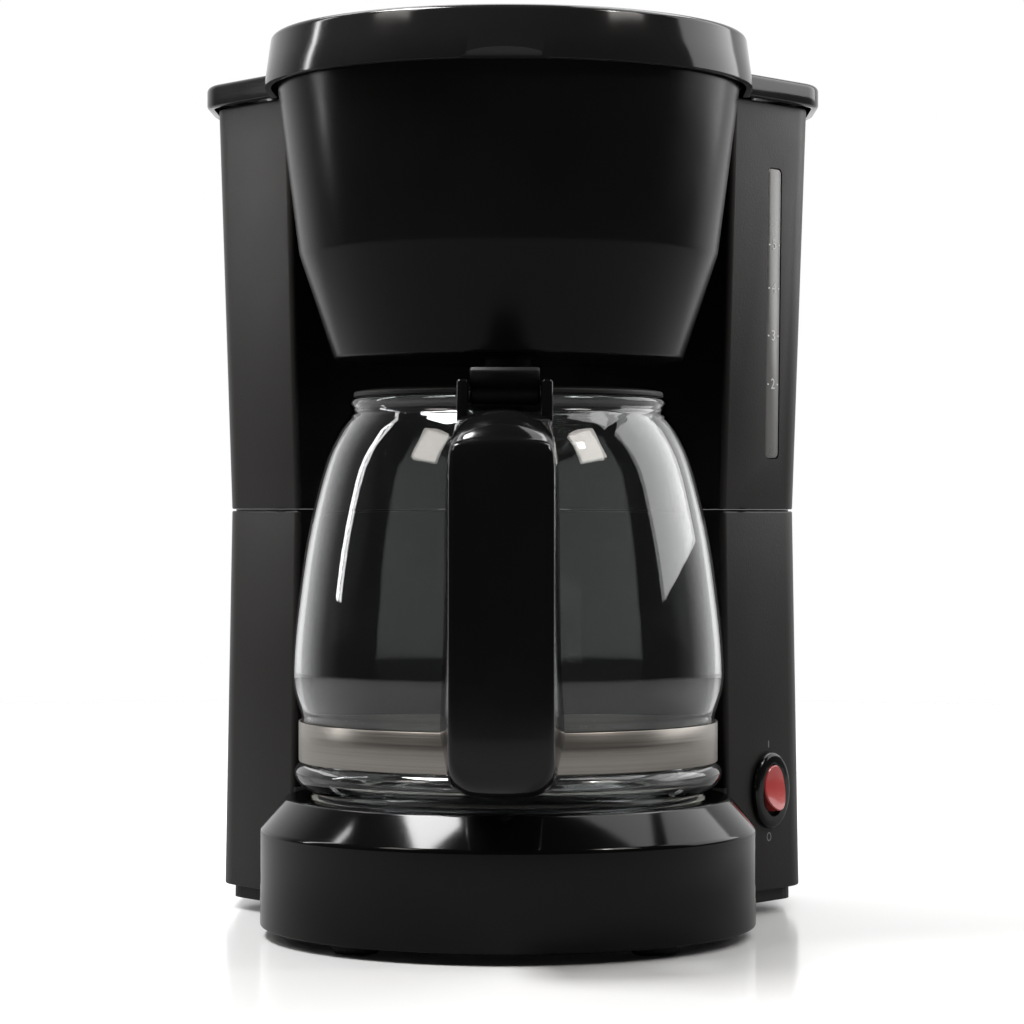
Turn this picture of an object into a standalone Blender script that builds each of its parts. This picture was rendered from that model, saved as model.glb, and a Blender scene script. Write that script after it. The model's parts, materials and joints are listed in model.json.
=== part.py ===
"""Five-cup drip coffee maker, built as the separate pieces it comes apart into.

Metres, +Z up. The carafe stands on the warming plate in front (-Y), the tank is behind it (+Y).
Pieces are laid out about the carafe axis, which is AXIS_Y from the part's own origin: that origin
is the centre of the footprint box, on the surface the feet stand on.
"""

import math

import bmesh
import bpy
from mathutils import Matrix, Vector

MM = 0.001
GAP = 0.3 * MM  # air kept between pieces that touch
AXIS_Y = -9.9 * MM  # carafe axis, from the middle of the whole depth

# Heights
PLATE_TOP = 40.5 * MM
SEAM = 124.7 * MM  # joint line between the lower and upper housings
SEAM_GAP = 0.6 * MM
COLUMN_FOOT = 7.5 * MM
TANK_FLOOR = 127.5 * MM
TANK_TOP = 250.5 * MM
DECK_TOP = 257.8 * MM
LID_EDGE = 248.6 * MM
LID_TOP = 263.8 * MM

# Column outline in plan, at full size: the wall shrinks towards the seam
TIP = (67.8 * MM, 31.0 * MM)
SHOULDER = (92.4 * MM, 62.0 * MM)
BACK = 122.0 * MM
SEAM_SCALE = 0.951
FOOT_SCALE = 0.975
WALL = 2.4 * MM
DECK_OVERHANG = 3.8 * MM

# Round pieces in front
DRUM_RADIUS = 73.0 * MM
DRUM_FOOT = 3.0 * MM
CHAMFER_FOOT = 31.2 * MM
RING_RADIUS = 65.5 * MM
PLATE_RADIUS = 56.0 * MM
PLATE_RECESS = 58.5 * MM
HEAD_TOP = (68.2 * MM, 250.4 * MM)
HEAD_KINK = (61.6 * MM, 199.7 * MM)
HEAD_FOOT = (51.2 * MM, 168.8 * MM)
HEAD_WALL = 2.2 * MM
LID_RADIUS = 72.0 * MM
LID_BACK = 112.0 * MM
LID_WALL = 2.2 * MM

BASKET_FOOT = HEAD_FOOT[1] + HEAD_WALL + GAP
BASKET_FLOOR = BASKET_FOOT + 1.8 * MM
NOZZLE_END = 166.6 * MM
CARAFE_FOOT = PLATE_TOP + GAP

# Joints
LID_HINGE = (116.5 * MM, 260.2 * MM)  # Y, Z of the top lid's hinge
CARAFE_HINGE = (-53.0 * MM, 157.0 * MM)  # Y, Z of the carafe lid's hinge
VALVE_LIFT = 4.0 * MM
ROCKER_TILT = math.radians(7)  # either way from level; it rests off

# The right face of the column carries the window and the switch
WINDOW_SPOT = 0.63  # share of the way from TIP to SHOULDER
SWITCH_SPOT = 0.59
WINDOW_FOOT = 140.6 * MM
WINDOW_TOP = 230.6 * MM
WINDOW_WIDTH = 7.4 * MM
SWITCH_HEIGHT = 38.3 * MM
SWITCH_WIDTH = 14.2 * MM  # of the oval body behind the bezel
SWITCH_LENGTH = 19.0 * MM
ROCKER_WIDTH = 10.8 * MM
ROCKER_LENGTH = 14.0 * MM

# Water path and heater
RISER = (24.0 * MM, 92.0 * MM)
OUTLET = (-30.0 * MM, 88.0 * MM)
TUBE_LEG = 36.0 * MM
TUBE_HEIGHT = 34.7 * MM
ELEMENT_LEG = 26.5 * MM
ELEMENT_HEIGHT = 35.4 * MM

# Posts under the base that take the cover's screws: X, Y and top
FRONT_POST = (49 * MM, -33 * MM, 36.5 * MM)
REAR_POST = (74 * MM, 78 * MM, 30 * MM)
SCREW_SPOTS = [(side * x, y, top) for x, y, top in (FRONT_POST, REAR_POST) for side in (-1, 1)]
GLAND_X = 45 * MM
GLAND_Z = 20 * MM

# Carafe glass, as (radius, height) in millimetres: outside from the neck down, then inside going up
NECK = [(47.5, 152.1), (50.4, 147.4), (54.5, 137), (59.2, 116.3), (62.2, 94.7), (63.5, 80.5), (63.5, 73)]
GROOVE = [(61.2, 66.5), (60.8, 63.0), (60.8, 50.9)]
HEEL = [(61.6, 50.4), (62.9, 48.1), (61.6, 44.8), (58.8, 42.6), (54.5, 40.8)]
INSIDE = [(55, 44.0), (58.6, 48.4), (58.6, 65.0), (61.2, 73.6), (61.2, 80.3), (56.9, 115.8), (52.2, 136.2)]
INSIDE += [(45.5, 151.2), (43.6, 154.0)]
BAND = (61.1 * MM, 61.7 * MM, 51.2 * MM, 62.8 * MM)  # inner and outer radius, foot and top

# Handle stations from the neck to the band, in millimetres: outer Y and Z, inner Y and Z, half
# width at the outer face and at the inner face, and the rounding of the outer edges
GRIP = [
    (-46, 150.0, -49, 139.8, 13.6, 14.2, 3.0),
    (-62, 151.6, -62, 139.6, 13.4, 14.4, 4.0),
    (-78, 152.0, -76, 138.8, 12.9, 14.8, 5.4),
    (-90, 151.6, -84, 136.2, 12.9, 15.2, 5.8),
    (-98.5, 149.4, -88.4, 132.4, 13.2, 15.5, 5.8),
    (-104, 144.6, -90.4, 127, 13.6, 15.6, 4.8),
    (-106, 137, -91, 121, 13.9, 15.7, 2.4),
    (-106, 96, -91, 94, 13.9, 16.3, 1.8),
    (-106, 76, -90.6, 80, 13.9, 16.8, 1.8),
    (-106, 63, -88.6, 72.4, 13.9, 17.2, 2.4),
    (-105, 54.6, -84.4, 67.4, 13.8, 17.3, 4.8),
    (-100.4, 49.2, -79, 64.8, 13.6, 17.2, 5.8),
    (-92, 47.8, -73, 63.6, 13.4, 16.6, 5.8),
    (-79, 48.2, -68, 63.0, 13.2, 15.4, 4.0),
    (-68, 49.0, -64, 62.7, 13.0, 14.2, 2.6),
    (-58, 49.6, -58, 62.5, 13.0, 13.6, 2.2),
]

BLACK = (0.012, 0.012, 0.013)
COLOURS = {
    "satin_black": (BLACK, 0.45, 0.0),
    "gloss_black": ((0.008, 0.008, 0.009), 0.15, 0.0),
    "rubber": ((0.02, 0.02, 0.02), 0.85, 0.0),
    "glass": ((0.85, 0.88, 0.88), 0.05, 0.0),
    "steel": ((0.55, 0.53, 0.50), 0.3, 1.0),
    "aluminium": ((0.72, 0.72, 0.72), 0.4, 1.0),
    "plate": ((0.03, 0.03, 0.03), 0.35, 0.3),
    "silicone": ((0.75, 0.74, 0.70), 0.6, 0.0),
    "window": ((0.55, 0.55, 0.53), 0.3, 0.0),
    "red": ((0.45, 0.01, 0.02), 0.3, 0.0),
    "brass": ((0.75, 0.55, 0.25), 0.35, 1.0),
    "white_insulation": ((0.8, 0.8, 0.78), 0.5, 0.0),
    "black_insulation": ((0.03, 0.03, 0.03), 0.5, 0.0),
}


# ---------------------------------------------------------------- outlines


def scaled(points):
    """Profile points given in millimetres."""
    return [(radius * MM, z * MM) for radius, z in points]


def rounded(corners):
    """Outline through (x, y, radius) corners, counter-clockwise, each rounded by its radius."""
    points = []
    count = len(corners)
    for index, (x, y, radius) in enumerate(corners):
        here = Vector((x, y))
        if radius == 0:
            points.append(here)
            continue
        before = (Vector(corners[index - 1][:2]) - here).normalized()
        after = (Vector(corners[(index + 1) % count][:2]) - here).normalized()
        half = before.angle(after) / 2
        middle = here + (before + after).normalized() * radius / math.sin(half)
        steps = 2 + int(radius / (6 * MM))
        start = here + before * radius / math.tan(half)
        end = here + after * radius / math.tan(half)
        for step in range(steps + 1):
            spoke = (start - middle).lerp(end - middle, step / steps).normalized()
            points.append(middle + spoke * radius)
    return points


def grown(points, distance):
    """The closed counter-clockwise outline moved outward by distance, or inward if negative."""
    moved = []
    for index, here in enumerate(points):
        first = (here - points[index - 1]).normalized()
        second = (points[(index + 1) % len(points)] - here).normalized()
        first = Vector((first.y, -first.x))
        second = Vector((second.y, -second.x))
        moved.append(here + (first + second) * distance / (1 + first.dot(second)))
    return moved


def column_outline(offset=0, open_front=True):
    """Plan of the column, moved outward by offset. The open front has the round carafe recess."""
    half = [(*TIP, 1.5 * MM), (*SHOULDER, 14 * MM), (SHOULDER[0], BACK, 34 * MM)]
    corners = half + [(-x, y, radius) for x, y, radius in reversed(half)]
    if open_front:
        reach = math.hypot(*TIP)
        first = math.atan2(TIP[1], -TIP[0])
        last = math.atan2(TIP[1], TIP[0])
        for step in range(1, 16):
            angle = first + (last - first) * step / 16
            corners.append((reach * math.cos(angle), reach * math.sin(angle), 0))
    places = grown([Vector(corner[:2]) for corner in corners], offset)
    radii = [max(corner[2] + offset, 0.6 * MM) if corner[2] else 0 for corner in corners]
    return rounded([(*place, radius) for place, radius in zip(places, radii)])


def lid_outline(radius, back, corner=8 * MM):
    """Plan of the lid: half a circle in front, straight sides, rounded back corners."""
    points = rounded([(radius, back, corner), (-radius, back, corner)] + [(-radius, 0, 0), (radius, 0, 0)])
    points = points[:-2]
    for step in range(25):
        angle = math.pi + math.pi * step / 24
        points.append(Vector((radius * math.cos(angle), radius * math.sin(angle))))
    return points


def bar_outline(width, height, corner):
    """A rectangle about the origin with rounded corners."""
    x, y = width / 2, height / 2
    return rounded([(x, y, corner), (-x, y, corner), (-x, -y, corner), (x, -y, corner)])


def oval_outline(width, height, steps=24):
    """An ellipse about the origin, with flats rather than corners at its four ends."""
    turns = [2 * math.pi * (step + 0.5) / steps for step in range(steps)]
    return [Vector((width / 2 * math.cos(turn), height / 2 * math.sin(turn))) for turn in turns]


def upper_scale(z):
    """Size of the column outline at height z of the upper housing."""
    return SEAM_SCALE + (1 - SEAM_SCALE) * (z - SEAM) / (TANK_TOP - SEAM)


def lower_scale(z):
    """Size of the column outline at height z of the lower housing."""
    return SEAM_SCALE + (FOOT_SCALE - SEAM_SCALE) * (SEAM - z) / (SEAM - COLUMN_FOOT)


GLAND = (GLAND_X, BACK * lower_scale(GLAND_Z) - 1.17 * MM, GLAND_Z)


# ---------------------------------------------------------------- scene and pieces


def clear_scene():
    for obj in list(bpy.data.objects):
        bpy.data.objects.remove(obj, do_unlink=True)


def new_collection(name):
    collection = bpy.data.collections.new(name)
    bpy.context.scene.collection.children.link(collection)
    return collection


clear_scene()
PARTS = new_collection("coffee_maker")
CUTTERS = new_collection("cutters")


def empty(name, location, rotation=None, parent=None):
    """A named empty for pieces to hang from, such as one on a joint's axis."""
    obj = bpy.data.objects.new(name, None)
    PARTS.objects.link(obj)
    obj.empty_display_size = 10 * MM
    obj.location = location
    if rotation is not None:
        obj.rotation_euler = rotation
    obj.parent = parent
    return obj


ORIGIN = empty("carafe_axis", (0, AXIS_Y, 0))


def shade(obj, material):
    """Gives the piece its own Principled material."""
    colour, roughness, metallic = COLOURS[material]
    made = bpy.data.materials.new(obj.name)
    made.use_nodes = True
    shader = made.node_tree.nodes["Principled BSDF"]
    shader.inputs["Base Color"].default_value = (*colour, 1)
    shader.inputs["Roughness"].default_value = roughness
    shader.inputs["Metallic"].default_value = metallic
    obj.data.materials.append(made)


def add_object(name, mesh, material=None, parent=None):
    """Puts a mesh in the scene: as a piece if it has a material, else as a cutter."""
    obj = bpy.data.objects.new(name, mesh)
    obj.parent = parent or ORIGIN
    if material:
        PARTS.objects.link(obj)
        shade(obj, material)
    else:
        CUTTERS.objects.link(obj)
        obj.hide_render = True
        obj.display_type = "WIRE"
    return obj


def smooth(mesh):
    mesh.shade_smooth()
    mesh.set_sharp_from_angle(angle=math.radians(35))


def mesh_of(name, bm):
    mesh = bpy.data.meshes.new(name)
    bm.to_mesh(mesh)
    bm.free()
    smooth(mesh)
    return mesh


def turned(name, profile, material=None, at=(0, 0), steps=24, parent=None):
    """A shape turned about Z from (radius, height) points that run down its outer side."""
    bm = bmesh.new()
    verts = [bm.verts.new((radius, 0, z)) for radius, z in profile]
    for first, second in zip(verts, verts[1:]):
        bm.edges.new((first, second))
    if profile[0][0] > 0:
        bm.edges.new((verts[-1], verts[0]))
    obj = add_object(name, mesh_of(name, bm), material, parent)
    obj.location = (*at, 0)
    screw = obj.modifiers.new("turn", "SCREW")
    screw.steps = steps
    screw.render_steps = steps
    screw.use_merge_vertices = True
    screw.merge_threshold = 0.00001
    screw.use_smooth_shade = True
    return obj


def disc(name, radius, low, high, material=None, at=(0, 0), steps=16, parent=None):
    """A plain upright cylinder."""
    return turned(name, [(0, high), (radius, high), (radius, low), (0, low)], material, at, steps, parent)


def ring(name, inner, outer, low, high, material=None, at=(0, 0), steps=24, parent=None):
    """A flat ring about Z."""
    profile = [(outer, high), (outer, low), (inner, low), (inner, high)]
    return turned(name, profile, material, at, steps, parent)


def converted(curve_object, name, material, parent):
    """The curve object as a welded mesh piece; the curve itself is removed."""
    bpy.context.view_layer.update()
    graph = bpy.context.evaluated_depsgraph_get()
    mesh = bpy.data.meshes.new_from_object(curve_object.evaluated_get(graph))
    mesh.materials.clear()
    bm = bmesh.new()
    bm.from_mesh(mesh)
    bmesh.ops.remove_doubles(bm, verts=bm.verts, dist=0.000001)
    bmesh.ops.recalc_face_normals(bm, faces=bm.faces)
    bm.to_mesh(mesh)
    bm.free()
    mesh.name = name
    smooth(mesh)
    obj = add_object(name, mesh, material, parent)
    bpy.data.objects.remove(curve_object, do_unlink=True)
    return obj


def prism(name, outline, low, high, material=None, scale=None, parent=None):
    """An outline extruded from low to high. scale(z) tapers it about the carafe axis."""
    curve = bpy.data.curves.new(name, "CURVE")
    curve.dimensions = "2D"
    curve.fill_mode = "BOTH"
    curve.extrude = (high - low) / 2
    spline = curve.splines.new("POLY")
    spline.points.add(len(outline) - 1)
    for point, place in zip(spline.points, outline):
        point.co = (*place, 0, 1)
    spline.use_cyclic_u = True
    source = bpy.data.objects.new(name + "_curve", curve)
    PARTS.objects.link(source)
    obj = converted(source, name, material, parent)
    for vertex in obj.data.vertices:
        vertex.co.z += (low + high) / 2
        if scale:
            vertex.co.x *= scale(vertex.co.z)
            vertex.co.y *= scale(vertex.co.z)
    return obj


def box(name, low, high, material=None, parent=None):
    """A block between two corners, from the cube primitive."""
    bm = bmesh.new()
    bmesh.ops.create_cube(bm, size=1)
    size = [b - a for a, b in zip(low, high)]
    centre = [(a + b) / 2 for a, b in zip(low, high)]
    bmesh.ops.scale(bm, vec=size, verts=bm.verts)
    bmesh.ops.translate(bm, vec=centre, verts=bm.verts)
    return add_object(name, mesh_of(name, bm), material, parent)


def lying(obj, axis, at):
    """Turns an upright piece to lie along X or Y, with its own origin at the given place."""
    obj.rotation_euler = (0, math.pi / 2, 0) if axis == "X" else (math.pi / 2, 0, 0)
    obj.location = at
    return obj


def route(points, per_span=4):
    """Points along a smooth curve through the given ones (Catmull-Rom)."""
    knots = [Vector(point) for point in points]
    knots = [2 * knots[0] - knots[1]] + knots + [2 * knots[-1] - knots[-2]]
    track = []
    for a, b, c, d in zip(knots, knots[1:], knots[2:], knots[3:]):
        for step in range(per_span):
            t = step / per_span
            bend = 2 * a - 5 * b + 4 * c - d
            twist = 3 * b - a - 3 * c + d
            track.append((2 * b + (c - a) * t + bend * t * t + twist * t**3) / 2)
    return track + [knots[-2]]


def wire(name, track, radius, material, parent=None, caps=True):
    """A round rod along the points of track; without caps it stays an open skin."""
    curve = bpy.data.curves.new(name, "CURVE")
    curve.dimensions = "3D"
    curve.bevel_depth = radius
    curve.bevel_resolution = 2
    curve.use_fill_caps = caps
    spline = curve.splines.new("POLY")
    spline.points.add(len(track) - 1)
    for point, place in zip(spline.points, track):
        point.co = (*place, 1)
    source = bpy.data.objects.new(name + "_curve", curve)
    PARTS.objects.link(source)
    return converted(source, name, material, parent)


def pipe(name, track, radius, wall, material, parent=None):
    """A hollow tube along track, open at both ends."""
    obj = wire(name, track, radius, material, parent, caps=False)
    skin = obj.modifiers.new("wall", "SOLIDIFY")
    skin.thickness = wall
    skin.offset = -1
    return obj


def combine(obj, operation, *others):
    """Cuts, joins or intersects a piece with cutter objects."""
    for other in others:
        change = obj.modifiers.new(operation.lower(), "BOOLEAN")
        change.operation = operation
        change.solver = "EXACT"
        change.object = other


def cut(obj, *cutters):
    combine(obj, "DIFFERENCE", *cutters)


def join(obj, *additions):
    combine(obj, "UNION", *additions)


def face_frame(name, spot, height, scale):
    """Empty on the column's right face. Its X runs back along the face and its Y into the body."""
    tip = Vector((*TIP, 0))
    along = Vector((*SHOULDER, 0)) - tip
    across = along.normalized()
    inward = Vector((-across.y, across.x, 0))
    reach = -tip.dot(inward)
    lean = reach * (scale(height + MM) - scale(height)) / MM
    up = (Vector((0, 0, 1)) - inward * lean).normalized()
    inward = up.cross(across)
    turn = Matrix((across, inward, up)).transposed()
    place = (tip + along * spot) * scale(height)
    place.z = height
    return empty(name, place, turn.to_euler(), ORIGIN)


WINDOW = face_frame("window_face", WINDOW_SPOT, (WINDOW_FOOT + WINDOW_TOP) / 2, upper_scale)
SWITCH = face_frame("switch_face", SWITCH_SPOT, SWITCH_HEIGHT, lower_scale)


# ---------------------------------------------------------------- housings


def base_housing():
    """Drum under the carafe and lower half of the column, one moulding open underneath."""
    rim = SEAM - SEAM_GAP / 2
    shell = prism("base_housing", column_outline(), COLUMN_FOOT, rim, "satin_black", lower_scale)
    block_plan = column_outline(-0.6 * MM, False)
    join(
        shell,
        prism("base_block", block_plan, 8.1 * MM, PLATE_TOP - GAP, scale=lower_scale),
        turned(
            "drum",
            [
                (0, PLATE_TOP),
                (RING_RADIUS, PLATE_TOP),
                (DRUM_RADIUS, CHAMFER_FOOT),
                (DRUM_RADIUS, DRUM_FOOT),
                (0, DRUM_FOOT),
            ],
            steps=32,
        ),
    )
    ledge = PLATE_TOP - 5.2 * MM
    drum_hollow = turned(
        "drum_hollow",
        [
            (0, PLATE_TOP + MM),
            (PLATE_RECESS, PLATE_TOP + MM),
            (PLATE_RECESS, ledge + 2 * MM),
            (PLATE_RECESS - 4.5 * MM, ledge + 2 * MM),
            (PLATE_RECESS - 4.5 * MM, ledge),
            (RING_RADIUS, ledge),
            (DRUM_RADIUS - WALL, CHAMFER_FOOT - MM),
            (DRUM_RADIUS - WALL, 2 * MM),
            (0, 2 * MM),
        ],
        steps=32,
    )
    drum_hollow.rotation_euler.z = math.pi / 32
    cut(
        shell,
        prism("column_hollow", column_outline(-WALL), 5 * MM, SEAM + 5 * MM, scale=lower_scale),
        prism("block_hollow", column_outline(-WALL - 0.5 * MM, False), MM, ledge - GAP, scale=lower_scale),
        drum_hollow,
    )
    for index, (x, y, top) in enumerate(SCREW_SPOTS):
        join(shell, disc(f"post_{index}", 4 * MM, 7.6 * MM, top, at=(x, y), steps=12))
        if y > 0:
            low_x, high_x = sorted((x, math.copysign(88.4 * MM, x)))
            low, high = (low_x, y - 0.8 * MM, 12 * MM), (high_x, y + 0.8 * MM, top - MM)
            join(shell, box(f"post_rib_{index}", low, high))
        cut(shell, disc(f"post_bore_{index}", 1.7 * MM, 5 * MM, 17 * MM, at=(x, y), steps=12))
    hole_outline = oval_outline(SWITCH_WIDTH + 2 * GAP, SWITCH_LENGTH + 2 * GAP)
    switch_hole = prism("switch_hole", hole_outline, -5 * MM, 5 * MM, parent=SWITCH)
    switch_hole.rotation_euler = (math.pi / 2, 0, 0)
    gland_hole = disc("gland_hole", 5.3 * MM, -8 * MM, 8 * MM)
    cut(shell, switch_hole, lying(gland_hole, "Y", GLAND))


def bottom_cover():
    """Tray that closes the base from below, with vent slots and screw holes."""
    low, top = 3.4 * MM, 7.2 * MM
    cover = prism("bottom_cover", column_outline(-3.2 * MM, False), low, top, "satin_black", lower_scale)
    join(cover, disc("cover_disc", DRUM_RADIUS - WALL - 0.7 * MM, low + 0.2 * MM, top - GAP, steps=32))
    for index in range(5):
        y = (-24 + 12 * index) * MM
        cut(cover, box(f"vent_{index}", (-26 * MM, y, 2 * MM), (26 * MM, y + 3 * MM, 9 * MM)))
    for index, (x, y, _) in enumerate(SCREW_SPOTS):
        cut(cover, disc(f"cover_hole_{index}", 1.9 * MM, 2 * MM, 9 * MM, at=(x, y), steps=12))
        head, seat, end = 1.2 * MM, low - GAP, 15 * MM
        shank, rim = 1.35 * MM, 3.3 * MM
        profile = [(0, end), (shank, end), (shank, seat), (rim, seat), (rim, head), (0, head)]
        turned(f"cover_screw_{index + 1}", profile, "steel", at=(x, y), steps=12)


def feet():
    for name, x, y in (("front", 42, -45), ("rear", 70, 98)):
        for side, sign in (("left", -1), ("right", 1)):
            profile = [(0, 3.1 * MM), (7 * MM, 3.1 * MM), (7 * MM, MM), (6 * MM, 0), (0, 0)]
            turned(f"foot_{name}_{side}", profile, "rubber", at=(sign * x * MM, y * MM), steps=16)


def reservoir_housing():
    """Upper half of the column: the water tank, open at the top, with the window slot."""
    foot = SEAM + SEAM_GAP / 2
    tank = prism("reservoir_housing", column_outline(), foot, TANK_TOP, "satin_black", upper_scale)
    cut(
        tank,
        prism("tank_hollow", column_outline(-WALL), TANK_FLOOR, TANK_TOP + 5 * MM, scale=upper_scale),
        disc("riser_hole", 5.3 * MM, SEAM - 5 * MM, TANK_FLOOR + 5 * MM, at=RISER, steps=20),
        disc("outlet_hole", 5.3 * MM, SEAM - 5 * MM, TANK_FLOOR + 5 * MM, at=OUTLET, steps=20),
    )
    height = WINDOW_TOP - WINDOW_FOOT
    slot = prism("window_slot", bar_outline(WINDOW_WIDTH, height, 2.4 * MM), -5 * MM, 5 * MM, parent=WINDOW)
    slot.rotation_euler = (math.pi / 2, 0, 0)
    cut(tank, slot)
    pane_outline = bar_outline(WINDOW_WIDTH - 2 * GAP, height - 2 * GAP, 2.1 * MM)
    pane = prism("water_window", pane_outline, -3.2 * MM, 0, "window", parent=WINDOW)
    pane.rotation_euler = (math.pi / 2, 0, 0)
    lip = prism(
        "window_lip",
        bar_outline(WINDOW_WIDTH + 3 * MM, height + 3 * MM, 3 * MM),
        -4.0 * MM,
        -WALL - GAP,
        parent=WINDOW,
    )
    lip.rotation_euler = (math.pi / 2, 0, 0)
    join(pane, lip)


def top_deck():
    """Rim that closes the top of the column round the lid, with the ears of the lid's hinge."""
    low, skin = TANK_TOP + GAP, 2.2 * MM
    opening = LID_RADIUS + 0.8 * MM
    deck = prism("top_deck", column_outline(DECK_OVERHANG, False), low, DECK_TOP, "gloss_black")
    pocket = prism("deck_pocket", column_outline(DECK_OVERHANG - skin, False), low - MM, DECK_TOP - skin)
    rim = lid_outline(opening + skin, LID_BACK + 0.8 * MM + skin)
    cut(pocket, prism("deck_rim", rim, low - 2 * MM, DECK_TOP))
    opened = prism("deck_opening", lid_outline(opening, LID_BACK + 0.8 * MM), low - 2 * MM, DECK_TOP + MM)
    cut(deck, pocket, opened)
    y, z = LID_HINGE
    for side in (-1, 1):
        for x in (35.8, 54.2):
            low_x, high_x = sorted((side * (x - 1.6) * MM, side * (x + 1.6) * MM))
            ear_low, ear_high = (low_x, y - 3.2 * MM, DECK_TOP - MM), (high_x, y + 3.4 * MM, z + 2.4 * MM)
            join(deck, box(f"ear_{side}_{x}", ear_low, ear_high))
        hole = disc(f"ear_hole_{side}", 1.6 * MM, -14 * MM, 14 * MM, steps=16)
        cut(deck, lying(hole, "X", (side * 45 * MM, y, z)))
        pocket = box(
            f"knuckle_pocket_{side}",
            (side * 45 * MM - 7.6 * MM, y - 5 * MM, z - 3.4 * MM),
            (side * 45 * MM + 7.6 * MM, y + 3.6 * MM, z + 3 * MM),
        )
        cut(deck, pocket)
        pin = disc(f"lid_pin_{'left' if side < 0 else 'right'}", 1.3 * MM, -11.2 * MM, 11.2 * MM, "steel")
        lying(pin, "X", (side * 45 * MM, y, z))


def brew_head():
    """Funnel-shaped shell that holds the filter basket; a web at its back meets the tank."""
    floor = HEAD_FOOT[1] + HEAD_WALL
    inner = HEAD_WALL * 1.03
    head = turned(
        "brew_head",
        [
            HEAD_TOP,
            HEAD_KINK,
            HEAD_FOOT,
            (9 * MM, HEAD_FOOT[1]),
            (9 * MM, floor),
            (HEAD_FOOT[0] - HEAD_WALL, floor),
            (HEAD_KINK[0] - inner, HEAD_KINK[1]),
            (HEAD_TOP[0] - inner, HEAD_TOP[1]),
        ],
        "gloss_black",
        steps=32,
    )
    web = ring("head_web", 66.3 * MM, 74.0 * MM, 244 * MM, 248 * MM, steps=32)
    cut(web, box("web_front", (-90 * MM, -90 * MM, 240 * MM), (90 * MM, 36 * MM, 252 * MM)))
    join(head, web)


# ---------------------------------------------------------------- top lid


def top_lid(hinge):
    """One-piece cover over the basket and the tank, with a finger scoop at its front edge."""
    y, z = LID_HINGE

    def lean(mesh_object):
        """Draws the top in a little, as the skirt's draft does."""
        for vertex in mesh_object.data.vertices:
            rise = (vertex.co.z - LID_EDGE) / (LID_TOP - LID_EDGE)
            vertex.co.x *= 1 - 0.028 * rise
            vertex.co.y = LID_BACK + (vertex.co.y - LID_BACK) * (1 - 0.011 * rise)

    lid = prism("top_lid", lid_outline(LID_RADIUS, LID_BACK), LID_EDGE, LID_TOP, "gloss_black")
    inside = lid_outline(LID_RADIUS - LID_WALL, LID_BACK - LID_WALL, 6 * MM)
    hollow = prism("lid_hollow", inside, LID_EDGE - 2 * MM, LID_TOP - 2.5 * MM)
    lean(lid)
    lean(hollow)
    step_low, step_high = (-90 * MM, 18 * MM, LID_EDGE - MM), (90 * MM, 120 * MM, LID_EDGE + 3.4 * MM)
    skirt = box("lid_skirt_step", step_low, step_high)
    scoop = turned("lid_scoop", scaled([(0, 3.3), (10, 2.4), (14.5, 0), (0, -2)]), steps=24)
    scoop.location = (0, -LID_RADIUS - 1.2 * MM, LID_EDGE + 0.6 * MM)
    scoop.scale = (1, 0.22, 1)
    cut(lid, hollow, skirt, scoop)
    for side in (-1, 1):
        arm = box(
            f"lid_arm_{side}",
            (side * 45 * MM - 7 * MM, LID_BACK - 4 * MM, z + 0.4 * MM),
            (side * 45 * MM + 7 * MM, y, z + 2.8 * MM),
        )
        middle = (side * 45 * MM, y, z)
        knuckle = lying(disc(f"knuckle_{side}", 3 * MM, -7 * MM, 7 * MM, steps=20), "X", middle)
        bore = lying(disc(f"knuckle_bore_{side}", 1.6 * MM, -9 * MM, 9 * MM), "X", middle)
        join(lid, arm, knuckle)
        cut(lid, bore)
    hang(lid, hinge)


def lid_spreader(hinge):
    """Spray cup under the lid, with the trough that takes the water from the spout."""
    low, top = 249.5 * MM, LID_TOP - 2.5 * MM - GAP
    radius, wall = 30 * MM, 1.8 * MM
    inner, floor = radius - wall, low + wall
    profile = [(0, floor), (inner, floor), (inner, top), (radius, top), (radius, low), (0, low)]
    cup = turned("lid_spreader", profile, "satin_black")
    join(cup, box("trough", (-8 * MM, radius - MM, low + MM), (8 * MM, 60 * MM, top)))
    hollow_low, hollow_high = (-6.4 * MM, radius - 6 * MM, low + 2.8 * MM), (6.4 * MM, 61 * MM, top + MM)
    cut(cup, box("trough_hollow", hollow_low, hollow_high))
    for index in range(8):
        turn = 2 * math.pi * (index + 0.5) / 8
        spot = (18 * MM * math.cos(turn), 18 * MM * math.sin(turn))
        cut(cup, disc(f"spray_hole_{index}", 2 * MM, low - MM, low + 4 * MM, at=spot, steps=8))
    hang(cup, hinge)


def hang(obj, parent):
    """Parents a piece to a joint's empty without moving it."""
    obj.parent = parent
    obj.location = obj.location - parent.location


# ---------------------------------------------------------------- filter basket and drip valve


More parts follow.
